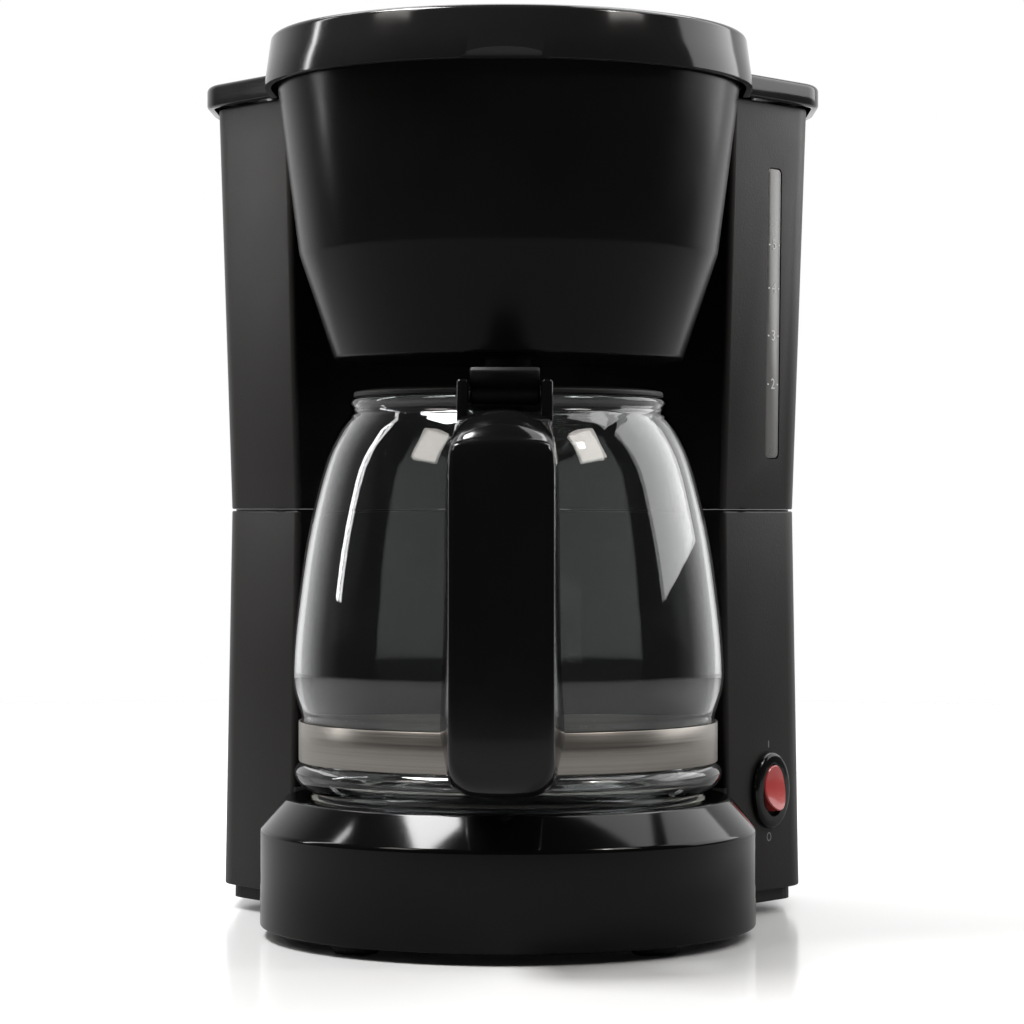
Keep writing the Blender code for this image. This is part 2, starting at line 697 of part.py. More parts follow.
def brew_basket(carrier):
    """Lift-out filter basket. Its nozzle hangs below the brew head, over the carafe lid."""
    wall = 1.8 * MM
    basket = turned(
        "brew_basket",
        [
            (64 * MM, 245.5 * MM),
            (57.6 * MM, 200.5 * MM),
            (46.5 * MM, BASKET_FOOT),
            (7 * MM, BASKET_FOOT),
            (7 * MM, NOZZLE_END),
            (3.2 * MM, NOZZLE_END),
            (3.2 * MM, BASKET_FLOOR),
            (46.5 * MM - wall, BASKET_FLOOR),
            (57.6 * MM - wall, 200.5 * MM),
            (64 * MM - wall, 245.5 * MM),
        ],
        "satin_black",
    )
    for index in range(6):
        turn = 2 * math.pi * index / 6
        rib = box(f"basket_rib_{index}", (24 * MM, -0.8 * MM, 172 * MM), (43 * MM, 0.8 * MM, 175 * MM))
        rib.rotation_euler.z = turn
        join(basket, rib)
    hang(basket, carrier)

    top = 188 * MM
    cage = turned(
        "valve_cage",
        [
            (0, top),
            (9 * MM, top),
            (9 * MM, BASKET_FLOOR + GAP),
            (7.6 * MM, BASKET_FLOOR + GAP),
            (7.6 * MM, top - 1.4 * MM),
            (0, top - 1.4 * MM),
        ],
        "satin_black",
        steps=16,
    )
    for index in range(2):
        opening = box(f"cage_opening_{index}", (-4 * MM, -12 * MM, 173 * MM), (4 * MM, 12 * MM, 183 * MM))
        opening.rotation_euler.z = math.pi / 2 * index
        cut(cage, opening)
    hang(cage, carrier)


def drip_valve(slider):
    """Plunger held up by the carafe's lid; its seal drops onto the nozzle as the carafe leaves."""
    seat = BASKET_FLOOR + GAP + VALVE_LIFT
    foot = NOZZLE_END - 1.3 * MM
    plunger = turned(
        "valve_plunger",
        [
            (0, seat + 2.6 * MM),
            (5 * MM, seat + 2.6 * MM),
            (5 * MM, seat + 1.4 * MM),
            (1.6 * MM, seat + 1.4 * MM),
            (1.6 * MM, foot + 1.4 * MM),
            (2.6 * MM, foot + 1.0 * MM),
            (2.6 * MM, foot),
            (0, foot),
        ],
        "satin_black",
        steps=12,
    )
    seal = ring("valve_seal", 1.9 * MM, 5.4 * MM, seat, seat + 1.1 * MM, "silicone", steps=16)
    hang(plunger, slider)
    hang(seal, slider)

    low, high = seat + 2.6 * MM + GAP, 186.6 * MM - GAP
    thick, turns, sides = 0.35 * MM, 3, 7
    track = []
    for step in range(turns * sides + 1):
        angle = 2 * math.pi * step / sides
        rise = low + thick + (high - low - 2 * thick) * step / (turns * sides)
        track.append((3.6 * MM * math.cos(angle), 3.6 * MM * math.sin(angle), rise))
    wire("valve_spring", track, thick, "steel")


# ---------------------------------------------------------------- carafe


def carafe_glass(carrier):
    """Blown glass jug with a groove near its foot for the steel band."""
    rim = [(44.8, 157.5), (46.9, 157.1), (47.2, 155.2), (45.8, 153.6)]
    outside = rim + NECK + GROOVE + HEEL + [(50, 41.4), (0, 41.9)]
    glass = turned("carafe_glass", scaled([(0, 44.0)] + INSIDE + outside), "glass", steps=32)
    hang(glass, carrier)
    return glass


def carafe_band(carrier):
    """Steel band in the glass's groove, with the lug that the handle is screwed to."""
    inner, outer, low, high = BAND
    band = ring("carafe_band", inner, outer, low, high, "steel", steps=32)
    join(band, box("band_lug", (-7 * MM, -69 * MM, 53 * MM), (7 * MM, -61.3 * MM, 58 * MM)))
    cut(band, disc("lug_bore", 1.7 * MM, 50 * MM, 60 * MM, at=(0, -66 * MM), steps=12))
    hang(band, carrier)
    end, seat, head = 57.5 * MM, 50.6 * MM, 48.9 * MM
    shank, rim = 1.4 * MM, 3.2 * MM
    profile = [(0, end), (shank, end), (shank, seat), (rim, seat), (rim, head), (0, head)]
    screw = turned("band_screw", profile, "steel", at=(0, -66 * MM), steps=12)
    hang(screw, carrier)


def loft(name, rings, material):
    """A closed skin through rings of the same number of points, with both ends filled."""
    bm = bmesh.new()
    loops = [[bm.verts.new(point) for point in ring_points] for ring_points in rings]
    for first, second in zip(loops, loops[1:]):
        for index in range(len(first)):
            bm.faces.new((first[index - 1], first[index], second[index], second[index - 1]))
    bm.faces.new(loops[0])
    bm.faces.new(loops[-1])
    bmesh.ops.recalc_face_normals(bm, faces=bm.faces)
    return add_object(name, mesh_of(name, bm), material)


def carafe_handle(carrier):
    """Handle: an arm from the neck, a flat-faced grip and a foot that reaches back to the band."""
    rings = []
    for station in GRIP:
        outer = Vector(station[0:2]) * MM
        inner = Vector(station[2:4]) * MM
        wide, wider = station[4] * MM, station[5] * MM
        depth = (inner - outer).length
        front, back = station[6] * MM, 2.2 * MM
        corners = [(wide, 0, front), (wider, depth, back), (-wider, depth, back), (-wide, 0, front)]
        section = rounded(corners)
        rings.append([(x, *outer.lerp(inner, t / depth)) for x, t in section])
    handle = loft("carafe_handle", rings, "gloss_black")
    y, z = CARAFE_HINGE
    for sign in (-1, 1):
        low_x, high_x = sorted((sign * 10.1 * MM, sign * 13.4 * MM))
        low, high = (low_x, y - 6.5 * MM, 146 * MM), (high_x, y + 4.5 * MM, z + 4.2 * MM)
        join(handle, box(f"handle_lug_{sign}", low, high))
    clear = [(radius + 0.3, height) for radius, height in NECK]
    clear = [(0, 158), (47.5, 158), (47.5, 154.6), (46.4, 153.4)] + clear
    clear += [(62.0, 66.5), (62.0, 51.2), (63.4, 50.2), (63.4, 45), (0, 45)]
    bore = lying(disc("pin_bore", 1.5 * MM, -20 * MM, 20 * MM), "X", (0, y, z))
    well = box("hinge_well", (-10.1 * MM, y - 5 * MM, z - 5 * MM), (10.1 * MM, -40 * MM, z + 9 * MM))
    slot = box("lug_slot", (-7.4 * MM, -69.4 * MM, 52.6 * MM), (7.4 * MM, -60 * MM, 58.4 * MM))
    screw_hole = disc("screw_hole", 1.8 * MM, 46 * MM, 55 * MM, at=(0, -66 * MM), steps=12)
    screw_seat = disc("screw_seat", 3.8 * MM, 40 * MM, 50.9 * MM, at=(0, -66 * MM), steps=16)
    clearance = turned("glass_clearance", scaled(clear), steps=32)
    cut(handle, clearance, bore, well, slot, screw_hole, screw_seat)
    hang(handle, carrier)
    pin = lying(disc("carafe_lid_pin", 1.2 * MM, -13 * MM, 13 * MM, "steel", steps=12), "X", (0, y, z))
    hang(pin, carrier)


def carafe_lid(hinge):
    """Lid of the jug: coffee drips in through its raised centre; a thumb tab opens it."""
    y, z = CARAFE_HINGE
    profile = [(3.5, 161), (8, 161), (9, 160.0), (43, 160.0), (45.6, 159.2), (45.6, 157.8), (42.9, 157.8)]
    profile += [(42.9, 151.6), (41.2, 151.6), (41.2, 158.2), (3.5, 158.2)]
    lid = turned("carafe_lid", scaled(profile), "satin_black", steps=24)
    arm = box("lid_arm", (-9.7 * MM, y, z + 0.9 * MM), (9.7 * MM, -42 * MM, z + 3.0 * MM))
    barrel = lying(disc("lid_barrel", 3.0 * MM, -9.7 * MM, 9.7 * MM, steps=20), "X", (0, y, z))
    side = [Vector((y - MM, z + 1.2 * MM)), Vector((y + 2 * MM, z + 2.8 * MM))]
    side += [Vector(point) for point in scaled([(-57.5, 164.2), (-60.6, 163.6), (-57, 160)])]
    tab = prism("thumb_tab", side, -9.7 * MM, 9.7 * MM)
    for vertex in tab.data.vertices:
        vertex.co = (vertex.co.z, vertex.co.x, vertex.co.y)
    join(lid, arm, barrel, tab)
    bore = lying(disc("barrel_bore", 1.5 * MM, -12 * MM, 12 * MM), "X", (0, y, z))
    slot = box("pour_slot", (-9 * MM, 36 * MM, 150 * MM), (9 * MM, 43.4 * MM, 157.0 * MM))
    cut(lid, bore, slot)
    hang(lid, hinge)


# ---------------------------------------------------------------- warming plate and heater


def horseshoe(leg, height, tail):
    """Track of a U round the carafe axis, with legs that reach back through the tail points."""
    half = [(leg, y, z) for y, z in tail][::-1]
    turns = [step * math.pi / 8 for step in range(9)]
    arc = [(leg * math.cos(turn), -leg * math.sin(turn), height) for turn in turns]
    return route(half + arc + [(-x, y, z) for x, y, z in half[::-1]], per_span=1)


def heater():
    """Warming plate, its gasket, and the element and water tube clamped to its underside."""
    plate = [(0, 40.5), (54.4, 40.5), (56.0, 39.7), (56.0, 39.0), (2.2, 39.0), (2.2, 24.0), (0, 24.0)]
    turned("warming_plate", scaled(plate), "plate", steps=32)
    seal = [(56.3, 40.2), (58.0, 40.2), (58.0, 37.6), (54.3, 37.6), (54.3, 38.7), (56.3, 38.7)]
    turned("plate_gasket", scaled(seal), "silicone", steps=32)
    tails = [(10 * MM, TUBE_HEIGHT), (22 * MM, TUBE_HEIGHT - 0.6 * MM)]
    tails += scaled([(33, 30.6), (43, 26), (54, 24), (62, 24)])
    pipe("heater_tube", horseshoe(TUBE_LEG, TUBE_HEIGHT, tails), 4 * MM, MM, "aluminium")
    tails = [(y * MM, ELEMENT_HEIGHT) for y in (8, 16, 24, 31)]
    wire("heating_element", horseshoe(ELEMENT_LEG, ELEMENT_HEIGHT, tails), 3.2 * MM, "steel")
    bar = box("clamp_bar", (-41 * MM, -4 * MM, 28.6 * MM), (41 * MM, 4 * MM, 30.4 * MM), "steel")
    cut(bar, disc("bar_hole", 2.5 * MM, 26 * MM, 33 * MM))
    nut = ring("clamp_nut", 2.9 * MM, 4.8 * MM, 25.4 * MM, 28.3 * MM, "steel", steps=6)
    nut.modifiers["turn"].use_smooth_shade = False
    thermostat = [(0, 38.7), (8, 38.7), (8, 33.0), (5.4, 33.0), (5.4, 29.0), (0, 29.0)]
    turned("thermostat", scaled(thermostat), "aluminium", at=(0, 15 * MM), steps=16)
    fuse = disc("thermal_fuse", 2.2 * MM, -8 * MM, 8 * MM, "white_insulation", steps=12)
    lying(fuse, "X", (0, -10 * MM, 36.2 * MM))


# ---------------------------------------------------------------- water path


def water_path(ball_slider):
    """Tank outlet with its one-way valve, hoses, riser through the tank and spout over the basket."""
    body = [(2.0, 129.2), (8, 129.2), (8, 127.8), (5.0, 127.8), (5.0, 109), (4.0, 109), (4.0, 98)]
    body += [(2.0, 98), (2.0, 112), (3.6, 112), (3.6, 118.6), (2.0, 118.6)]
    outlet = turned("check_valve_body", scaled(body), "satin_black", at=OUTLET, steps=12)
    slot = box("seat_slot", (-3.0 * MM, -0.7 * MM, 110 * MM), (3.0 * MM, 0.7 * MM, 113 * MM))
    slot.location = (*OUTLET, 0)
    cut(outlet, slot)
    ball_mesh = bmesh.new()
    bmesh.ops.create_uvsphere(ball_mesh, u_segments=12, v_segments=8, radius=2.8 * MM)
    ball = add_object("check_ball", mesh_of("check_ball", ball_mesh), "steel")
    ball.location = (*OUTLET, 114.3 * MM)
    hang(ball, ball_slider)
    ring("outlet_nut", 6.1 * MM, 9.4 * MM, 121.4 * MM, 124.7 * MM, "satin_black", at=OUTLET, steps=6)

    x, y = OUTLET
    cold = [(x, y, z * MM) for z in (108.6, 98, 80, 62)]
    cold += [(x - MM, y - MM, 46 * MM), (x - 3 * MM, y - 5 * MM, 31 * MM)]
    cold += [(-35.4 * MM, 74 * MM, 25 * MM), (-36 * MM, 65 * MM, 24 * MM), (-36 * MM, 56 * MM, 24 * MM)]
    pipe("cold_hose", route(cold, 1), 6.6 * MM, 1.8 * MM, "silicone")
    x, y = RISER
    hot = [(x, y, z * MM) for z in (112, 98, 80, 62)]
    hot += [(x + MM, y - MM, 46 * MM), (x + 5 * MM, y - 6 * MM, 31 * MM)]
    hot += [(34.4 * MM, 76 * MM, 25 * MM), (36 * MM, 65 * MM, 24 * MM), (36 * MM, 56 * MM, 24 * MM)]
    pipe("hot_hose", route(hot, 1), 6.6 * MM, 1.8 * MM, "silicone")
    ring("riser_tube", 2.6 * MM, 3.4 * MM, 100 * MM, 248 * MM, "aluminium", at=RISER, steps=16)
    grommet = [(3.9, 129.4), (7.5, 129.4), (7.5, 127.8), (4.9, 127.8), (4.9, 124.7), (3.9, 124.7)]
    turned("riser_grommet", scaled(grommet), "rubber", at=RISER, steps=12)
    elbow = [(x, y, 240 * MM), (x, y, 246 * MM), (x - 1.4 * MM, y - 2.6 * MM, 252.2 * MM)]
    level = 255.9 * MM
    elbow += [(x - 8 * MM, y - 11 * MM, level), (9 * MM, 72 * MM, level), (MM, 62.4 * MM, level)]
    pipe("spout_elbow", route(elbow, 2), 5 * MM, 0.7 * MM, "satin_black")


# ---------------------------------------------------------------- switch and wiring


def facing(obj):
    """Stands an upright piece on the switch's face: its Z then runs outward."""
    obj.rotation_euler = (math.pi / 2, 0, 0)
    return obj


def power_switch(pivot):
    """Oval bezel with its body behind it, the rocker and the four terminals."""
    oval = oval_outline(18.5 * MM, 23.6 * MM)
    body = facing(prism("switch_body", oval, GAP, 2.1 * MM, "gloss_black", parent=SWITCH))
    block_outline = oval_outline(SWITCH_WIDTH, SWITCH_LENGTH)
    block = prism("switch_block", block_outline, -18 * MM, MM, parent=SWITCH)
    pocket_outline = oval_outline(ROCKER_WIDTH + 2 * GAP, ROCKER_LENGTH + 2.2 * MM)
    pocket = prism("rocker_pocket", pocket_outline, -9.5 * MM, 5 * MM, parent=SWITCH)
    axle_hole = disc("axle_hole", 1.3 * MM, -6.4 * MM, 6.4 * MM, steps=12, parent=SWITCH)
    lying(axle_hole, "X", (0, 3 * MM, 0))
    join(body, facing(block))
    cut(body, facing(pocket), axle_hole)

    side = [(-3.8, 7.2), (-2.5, 0), (-3.8, -7.2), (-0.4, -6.8), (3.5, -3.4), (6.0, 0), (3.5, 3.4)]
    outline = [Vector(point) for point in scaled(side + [(-0.4, 6.8)])]
    rocker = prism("switch_rocker", outline, -6 * MM, 6 * MM, "red")
    for vertex in rocker.data.vertices:
        vertex.co = (vertex.co.z, vertex.co.x - 3 * MM, vertex.co.y)
    rocker.parent = pivot
    face = oval_outline(ROCKER_WIDTH, ROCKER_LENGTH)
    combine(rocker, "INTERSECT", facing(prism("rocker_face", face, -8 * MM, 8 * MM, parent=pivot)))
    axle = lying(disc("rocker_axle", MM, -6.1 * MM, 6.1 * MM, steps=12, parent=pivot), "X", (0, 0, 0))
    join(rocker, axle)
    for index in range(4):
        x = (-3.5 if index % 2 else 3.5) * MM
        z = (4 if index < 2 else -4) * MM
        low, high = (x - 0.4 * MM, 18.3 * MM, z - 2.4 * MM), (x + 0.4 * MM, 25 * MM, z + 2.4 * MM)
        box(f"terminal_{index + 1}", low, high, "brass", parent=SWITCH)


def terminal_end(index):
    """Where the wire of a terminal ends, in carafe-axis coordinates, and a point further along it."""
    x = (-3.5 if index % 2 else 3.5) * MM
    z = (4 if index < 2 else -4) * MM
    turn = SWITCH.rotation_euler.to_matrix()
    return [SWITCH.location + turn @ Vector((x, reach * MM, z)) for reach in (26.6, 31)]


def wiring():
    """Supply wires from the gland to the switch, and on to the thermostat, fuse and element."""
    gland = [(2.2, 4.6), (6.8, 4.6), (6.8, 1.6), (5.0, 1.6), (5.0, -1.6), (7.4, -1.6), (7.4, -3.0)]
    gland += [(6.2, -4.6), (2.2, -4.6)]
    lying(turned("cord_gland", scaled(gland), "rubber", steps=12), "Y", GLAND)
    live = [(56, 84, 42), (55, 102, 32), (47.4, 109, 22), (46.2, 112.2, 20)]
    neutral = [(49, 80, 39), (47, 98, 26), (43.6, 107, 20.6), (43.4, 112.2, 20)]
    to_thermostat = [(53, 73, 24), (44, 64, 12.5), (26, 54, 12.5), (9, 36, 22), (4, 25, 31.5)]
    to_element = [(50, 60, 24), (44, 54, 14.5), (33, 46, 14), (28, 42, 26), (26.5, 35.4, 34)]
    routes = (
        ("wire_live", "black_insulation", live),
        ("wire_neutral", "white_insulation", neutral),
        ("wire_to_thermostat", "black_insulation", to_thermostat),
        ("wire_to_element", "white_insulation", to_element),
    )
    for terminal, (name, material, points) in enumerate(routes):
        track = terminal_end(terminal) + [Vector(point) * MM for point in points]
        wire(name, route(track, 2), 1.2 * MM, material)


# ---------------------------------------------------------------- assembly

lid_axis = empty("lid_axis", (0, *LID_HINGE), parent=ORIGIN)
basket_carrier = empty("basket_carrier", (0, 0, BASKET_FOOT), parent=ORIGIN)
valve_slider = empty("valve_slider", (0, 0, BASKET_FLOOR), parent=ORIGIN)
carafe_carrier = empty("carafe_carrier", (0, 0, CARAFE_FOOT), parent=ORIGIN)
carafe_lid_axis = empty("carafe_lid_axis", (0, *CARAFE_HINGE), parent=ORIGIN)
ball_slider = empty("ball_slider", (*OUTLET, 114.3 * MM), parent=ORIGIN)
rocker_axis = empty("rocker_axis", (0, 3 * MM, 0), (-ROCKER_TILT, 0, 0), SWITCH)

base_housing()
bottom_cover()
feet()
reservoir_housing()
top_deck()
brew_head()
top_lid(lid_axis)
lid_spreader(lid_axis)
brew_basket(basket_carrier)
drip_valve(valve_slider)
carafe_glass(carafe_carrier)
carafe_band(carafe_carrier)
carafe_handle(carafe_carrier)
carafe_lid(carafe_lid_axis)
heater()
water_path(ball_slider)
power_switch(rocker_axis)
wiring()
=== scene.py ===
import json
import math

import bmesh
import bpy
from mathutils import Matrix, Vector


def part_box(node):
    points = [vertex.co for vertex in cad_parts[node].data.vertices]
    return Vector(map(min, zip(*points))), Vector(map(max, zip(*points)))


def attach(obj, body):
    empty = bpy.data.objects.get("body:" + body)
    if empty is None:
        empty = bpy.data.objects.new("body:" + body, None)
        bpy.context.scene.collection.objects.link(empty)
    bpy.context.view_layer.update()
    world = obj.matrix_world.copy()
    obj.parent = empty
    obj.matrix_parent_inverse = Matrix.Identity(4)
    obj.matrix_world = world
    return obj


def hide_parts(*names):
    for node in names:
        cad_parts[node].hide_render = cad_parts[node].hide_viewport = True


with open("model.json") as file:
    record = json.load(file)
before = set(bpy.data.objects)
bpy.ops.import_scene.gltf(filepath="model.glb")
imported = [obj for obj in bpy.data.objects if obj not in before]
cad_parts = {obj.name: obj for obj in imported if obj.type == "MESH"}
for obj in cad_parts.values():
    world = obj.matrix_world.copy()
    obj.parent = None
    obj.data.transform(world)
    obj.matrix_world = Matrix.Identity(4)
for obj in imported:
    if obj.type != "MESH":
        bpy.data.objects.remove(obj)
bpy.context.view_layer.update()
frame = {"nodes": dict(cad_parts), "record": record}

# Drip coffee maker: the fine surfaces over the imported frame.
# Shapes are laid out in millimetres about the carafe axis and placed from the frame's boxes.

MM = 0.001
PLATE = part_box("warming_plate")
AXIS = ((PLATE[0][0] + PLATE[1][0]) / 2, (PLATE[0][1] + PLATE[1][1]) / 2)
RECORD = frame["record"]
JOINTS = {joint["name"]: joint for joint in RECORD["behaviour"]["joints"]}


def mm(value):
    """Metres to millimetres."""
    return value / MM


def hinge_at(name):
    """Y and Z of a joint's axis, from the carafe axis and the floor."""
    place = JOINTS[name]["pos_m"]
    return mm(place[1] - AXIS[1]), mm(place[2])


# ---------------------------------------------------------------- dimensions
# Heights and hinges come from the frame. TIP and SHOULDER are the column's front corners at its top.

PLATE_TOP = mm(PLATE[1][2])
COLUMN_FOOT = 7.5
SEAM_LOW = mm(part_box("base_housing")[1][2])
SEAM_HIGH = mm(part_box("reservoir_housing")[0][2])
TANK_TOP = mm(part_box("reservoir_housing")[1][2])
TANK_FLOOR = SEAM_HIGH + 2.5
DECK_LOW = mm(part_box("top_deck")[0][2])
DECK_TOP = 257.8
DECK_OVERHANG = 3.8
DECK_EASE = 1.8
LID_LOW = mm(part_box("top_lid")[0][2])
LID_TOP = mm(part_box("top_lid")[1][2])
LID_RADIUS = 72.0
LID_BACK = 112.0
TIP = (67.8, 31.0)
SHOULDER = (92.4, 62.0)
BACK = 122.0
WALL = 2.4
SEAM_SCALE = 0.951
FOOT_SCALE = 0.975
SEAM = (SEAM_LOW + SEAM_HIGH) / 2
HINGE = hinge_at("lid_hinge")
JUG_HINGE = hinge_at("carafe_lid_hinge")
KNUCKLE_X = 45
EAR_REACH = 9.2
NOZZLE_END = mm(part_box("brew_basket")[0][2])
BASKET_FOOT = 171.3


def upper_scale(z):
    """Scale of the column's plan above the joint line, where it widens to the full plan at the top."""
    return SEAM_SCALE + (1 - SEAM_SCALE) * (z - SEAM) / (TANK_TOP - SEAM)


def lower_scale(z):
    """Scale of the column's plan below the joint line, where it widens a little to the foot."""
    return SEAM_SCALE + (FOOT_SCALE - SEAM_SCALE) * (SEAM - z) / (SEAM - COLUMN_FOOT)


# ---------------------------------------------------------------- materials

GRAIN_DEPTH = 0.0002

class Nodes:
    """A short way to write a node tree."""

    def __init__(self, tree):
        self.tree = tree

    def add(self, kind, links=(), **values):
        node = self.tree.nodes.new(kind)
        for key, value in values.items():
            setattr(node, key, value)
        for socket, source in dict(links).items():
            if isinstance(source, bpy.types.NodeSocket):
                self.tree.links.new(source, node.inputs[socket])
            else:
                node.inputs[socket].default_value = source
        return node

    def link(self, source, target):
        self.tree.links.new(source, target)


def start_material(name):
    """A new material with its node helper and its Principled shader."""
    material = bpy.data.materials.new(name)
    material.use_nodes = True
    tree = material.node_tree
    shader = tree.nodes["Principled BSDF"]
    return material, Nodes(tree), shader


def ramp(nodes, source, stops):
    """A colour ramp through (position, grey or colour) stops."""
    node = nodes.add("ShaderNodeValToRGB", {"Fac": source})
    elements = node.color_ramp.elements
    while len(elements) < len(stops):
        elements.new(0.5)
    for element, (position, value) in zip(elements, stops):
        element.position = position
        element.color = (value, value, value, 1) if isinstance(value, (int, float)) else (*value, 1)
    return node.outputs["Color"]


def noise(nodes, place, scale, detail, roughness=0.5):
    """A noise pattern of the object's own space, as a number from 0 to 1."""
    values = {"Vector": place, "Scale": scale, "Detail": detail, "Roughness": roughness}
    return nodes.add("ShaderNodeTexNoise", values).outputs["Fac"]


def bumped(nodes, shader, height, strength, distance):
    """Gives the shader a normal that follows a height pattern."""
    bump = nodes.add("ShaderNodeBump", {"Height": height, "Strength": strength, "Distance": distance})
    nodes.link(bump.outputs["Normal"], shader.inputs["Normal"])


def plastic(
    name, colour, roughness, swing=0.05, grain=0.0, grain_scale=900, coat=0.0, specular=0.5, tint=None
):
    """Moulded plastic: a faint flow pattern in colour, uneven gloss and a fine surface grain."""
    material, nodes, shader = start_material(name)
    place = nodes.add("ShaderNodeTexCoord").outputs["Object"]
    flow = noise(nodes, place, 14.0, 4.0, 0.6)
    dark = tuple(channel * 0.86 for channel in colour)
    light = tint or tuple(min(1, channel * 1.16 + 0.0008) for channel in colour)
    nodes.link(ramp(nodes, flow, [(0.3, dark), (0.7, light)]), shader.inputs["Base Color"])
    smear = noise(nodes, place, 55.0, 5.0, 0.65)
    low, high = max(0.02, roughness - swing), min(1.0, roughness + swing)
    nodes.link(ramp(nodes, smear, [(0.3, low), (0.72, high)]), shader.inputs["Roughness"])
    if grain:
        bumped(nodes, shader, noise(nodes, place, grain_scale, 3.0), grain, GRAIN_DEPTH)
    shader.inputs["Coat Weight"].default_value = coat
    shader.inputs["Coat Roughness"].default_value = 0.06
    shader.inputs["Specular IOR Level"].default_value = specular
    return material


def brushed(name, colour, roughness, around=True, scale=420.0):
    """Metal with fine brush lines round its axis, or along it."""
    material, nodes, shader = start_material(name)
    place = nodes.add("ShaderNodeTexCoord").outputs["Object"]
    stretch = (2.0, 2.0, scale) if around else (scale, 2.0, 2.0)
    mapped = nodes.add("ShaderNodeMapping", {"Vector": place, "Scale": stretch})
    lines = noise(nodes, mapped.outputs["Vector"], 4.0, 6.0)
    dark = tuple(channel * 0.82 for channel in colour)
    tone = ramp(nodes, lines, [(0.35, dark), (0.65, colour)])
    nodes.link(tone, shader.inputs["Base Color"])
    gloss = ramp(nodes, lines, [(0.3, roughness - 0.06), (0.7, roughness + 0.1)])
    nodes.link(gloss, shader.inputs["Roughness"])
    bumped(nodes, shader, lines, 0.06, GRAIN_DEPTH)
    shader.inputs["Metallic"].default_value = 1.0
    return material


def clear_glass(name, colour):
    """Blown glass with a very slight wave in its surface."""
    material, nodes, shader = start_material(name)
    place = nodes.add("ShaderNodeTexCoord").outputs["Object"]
    wave = noise(nodes, place, 22.0, 2.0)
    bumped(nodes, shader, wave, 0.03, 0.001)
    tone = ramp(nodes, wave, [(0.3, tuple(channel * 0.985 for channel in colour)), (0.7, colour)])
    nodes.link(tone, shader.inputs["Base Color"])
    shader.inputs["Transmission Weight"].default_value = 1.0
    shader.inputs["Roughness"].default_value = 0.0
    shader.inputs["IOR"].default_value = 1.5
    return material


POLISHED = {"grain": 0.02, "grain_scale": 240}

SATIN = plastic("satin_black_plastic", (0.0115, 0.0104, 0.0098), 0.4, 0.03, 0.2, 1500, specular=0.3)
GLOSS = plastic("gloss_black_plastic", (0.0034, 0.0033, 0.0034), 0.11, 0.025, specular=0.32, **POLISHED)
LID = plastic("lid_black_plastic", (0.0118, 0.0115, 0.0114), 0.11, 0.025, specular=0.35, **POLISHED)
DRUM = plastic("drum_black_plastic", (0.002, 0.002, 0.002), 0.1, 0.02, specular=0.2, **POLISHED)
HEAD = plastic("head_black_plastic", (0.0046, 0.0044, 0.0043), 0.22, 0.03, 0.05, 900, specular=0.13)
INNER = plastic("inner_black_plastic", (0.006, 0.006, 0.006), 0.5, grain=0.2, grain_scale=1100, specular=0.3)
RED = plastic("red_plastic", (0.42, 0.035, 0.035), 0.22, grain=0.05, coat=0.4, tint=(0.52, 0.06, 0.055))
WINDOW = plastic("gauge_plastic", (0.128, 0.128, 0.124), 0.3, 0.05, 0.12, 700, tint=(0.165, 0.165, 0.159))
MARK = plastic("mark_ink", (0.62, 0.62, 0.6), 0.5, grain=0.1, tint=(0.7, 0.7, 0.68))
FAINT_MARK = plastic("faint_ink", (0.16, 0.155, 0.15), 0.5, grain=0.1, tint=(0.19, 0.185, 0.18))
RUBBER = plastic("black_rubber", (0.018, 0.018, 0.018), 0.8, grain=0.5, grain_scale=700)
SILICONE = plastic("milky_silicone", (0.6, 0.59, 0.55), 0.5, grain=0.1, tint=(0.66, 0.65, 0.6))
COATING = plastic("plate_coating", (0.01, 0.01, 0.011), 0.34, grain=0.3, grain_scale=1800)
STEEL = brushed("brushed_steel", (0.36, 0.335, 0.305), 0.34)
WIRE_STEEL = brushed("wire_steel", (0.56, 0.55, 0.53), 0.24, around=False, scale=120)
ALUMINIUM = brushed("drawn_aluminium", (0.66, 0.66, 0.66), 0.36, around=False, scale=60)
BRASS = brushed("tinned_brass", (0.72, 0.55, 0.27), 0.3, around=False, scale=90)
WHITE_COVER = plastic("white_insulation", (0.72, 0.72, 0.7), 0.5, grain=0.2, tint=(0.78, 0.78, 0.76))
BLACK_COVER = plastic("black_insulation", (0.025, 0.025, 0.025), 0.5, grain=0.2)
GLASS = clear_glass("clear_glass", (0.93, 0.95, 0.95))

SLOT_MATERIALS = {
    "satin_black": INNER,
    "gloss_black": GLOSS,
    "steel": WIRE_STEEL,
    "glass": GLASS,
    "window": WINDOW,
    "red": RED,
    "plate": COATING,
    "silicone": SILICONE,
    "rubber": RUBBER,
    "aluminium": ALUMINIUM,
    "brass": BRASS,
    "white_insulation": WHITE_COVER,
    "black_insulation": BLACK_COVER,
}
SLOT_OF = {part["node"]: part["material_slot"] for part in RECORD["subparts"]}
for node_name, node_object in frame["nodes"].items():
    for node_slot in node_object.material_slots:
        node_slot.material = SLOT_MATERIALS[SLOT_OF[node_name]]
    node_object.data.shade_smooth()
    node_object.data.set_sharp_from_angle(angle=math.radians(38))


# ---------------------------------------------------------------- outlines and meshes


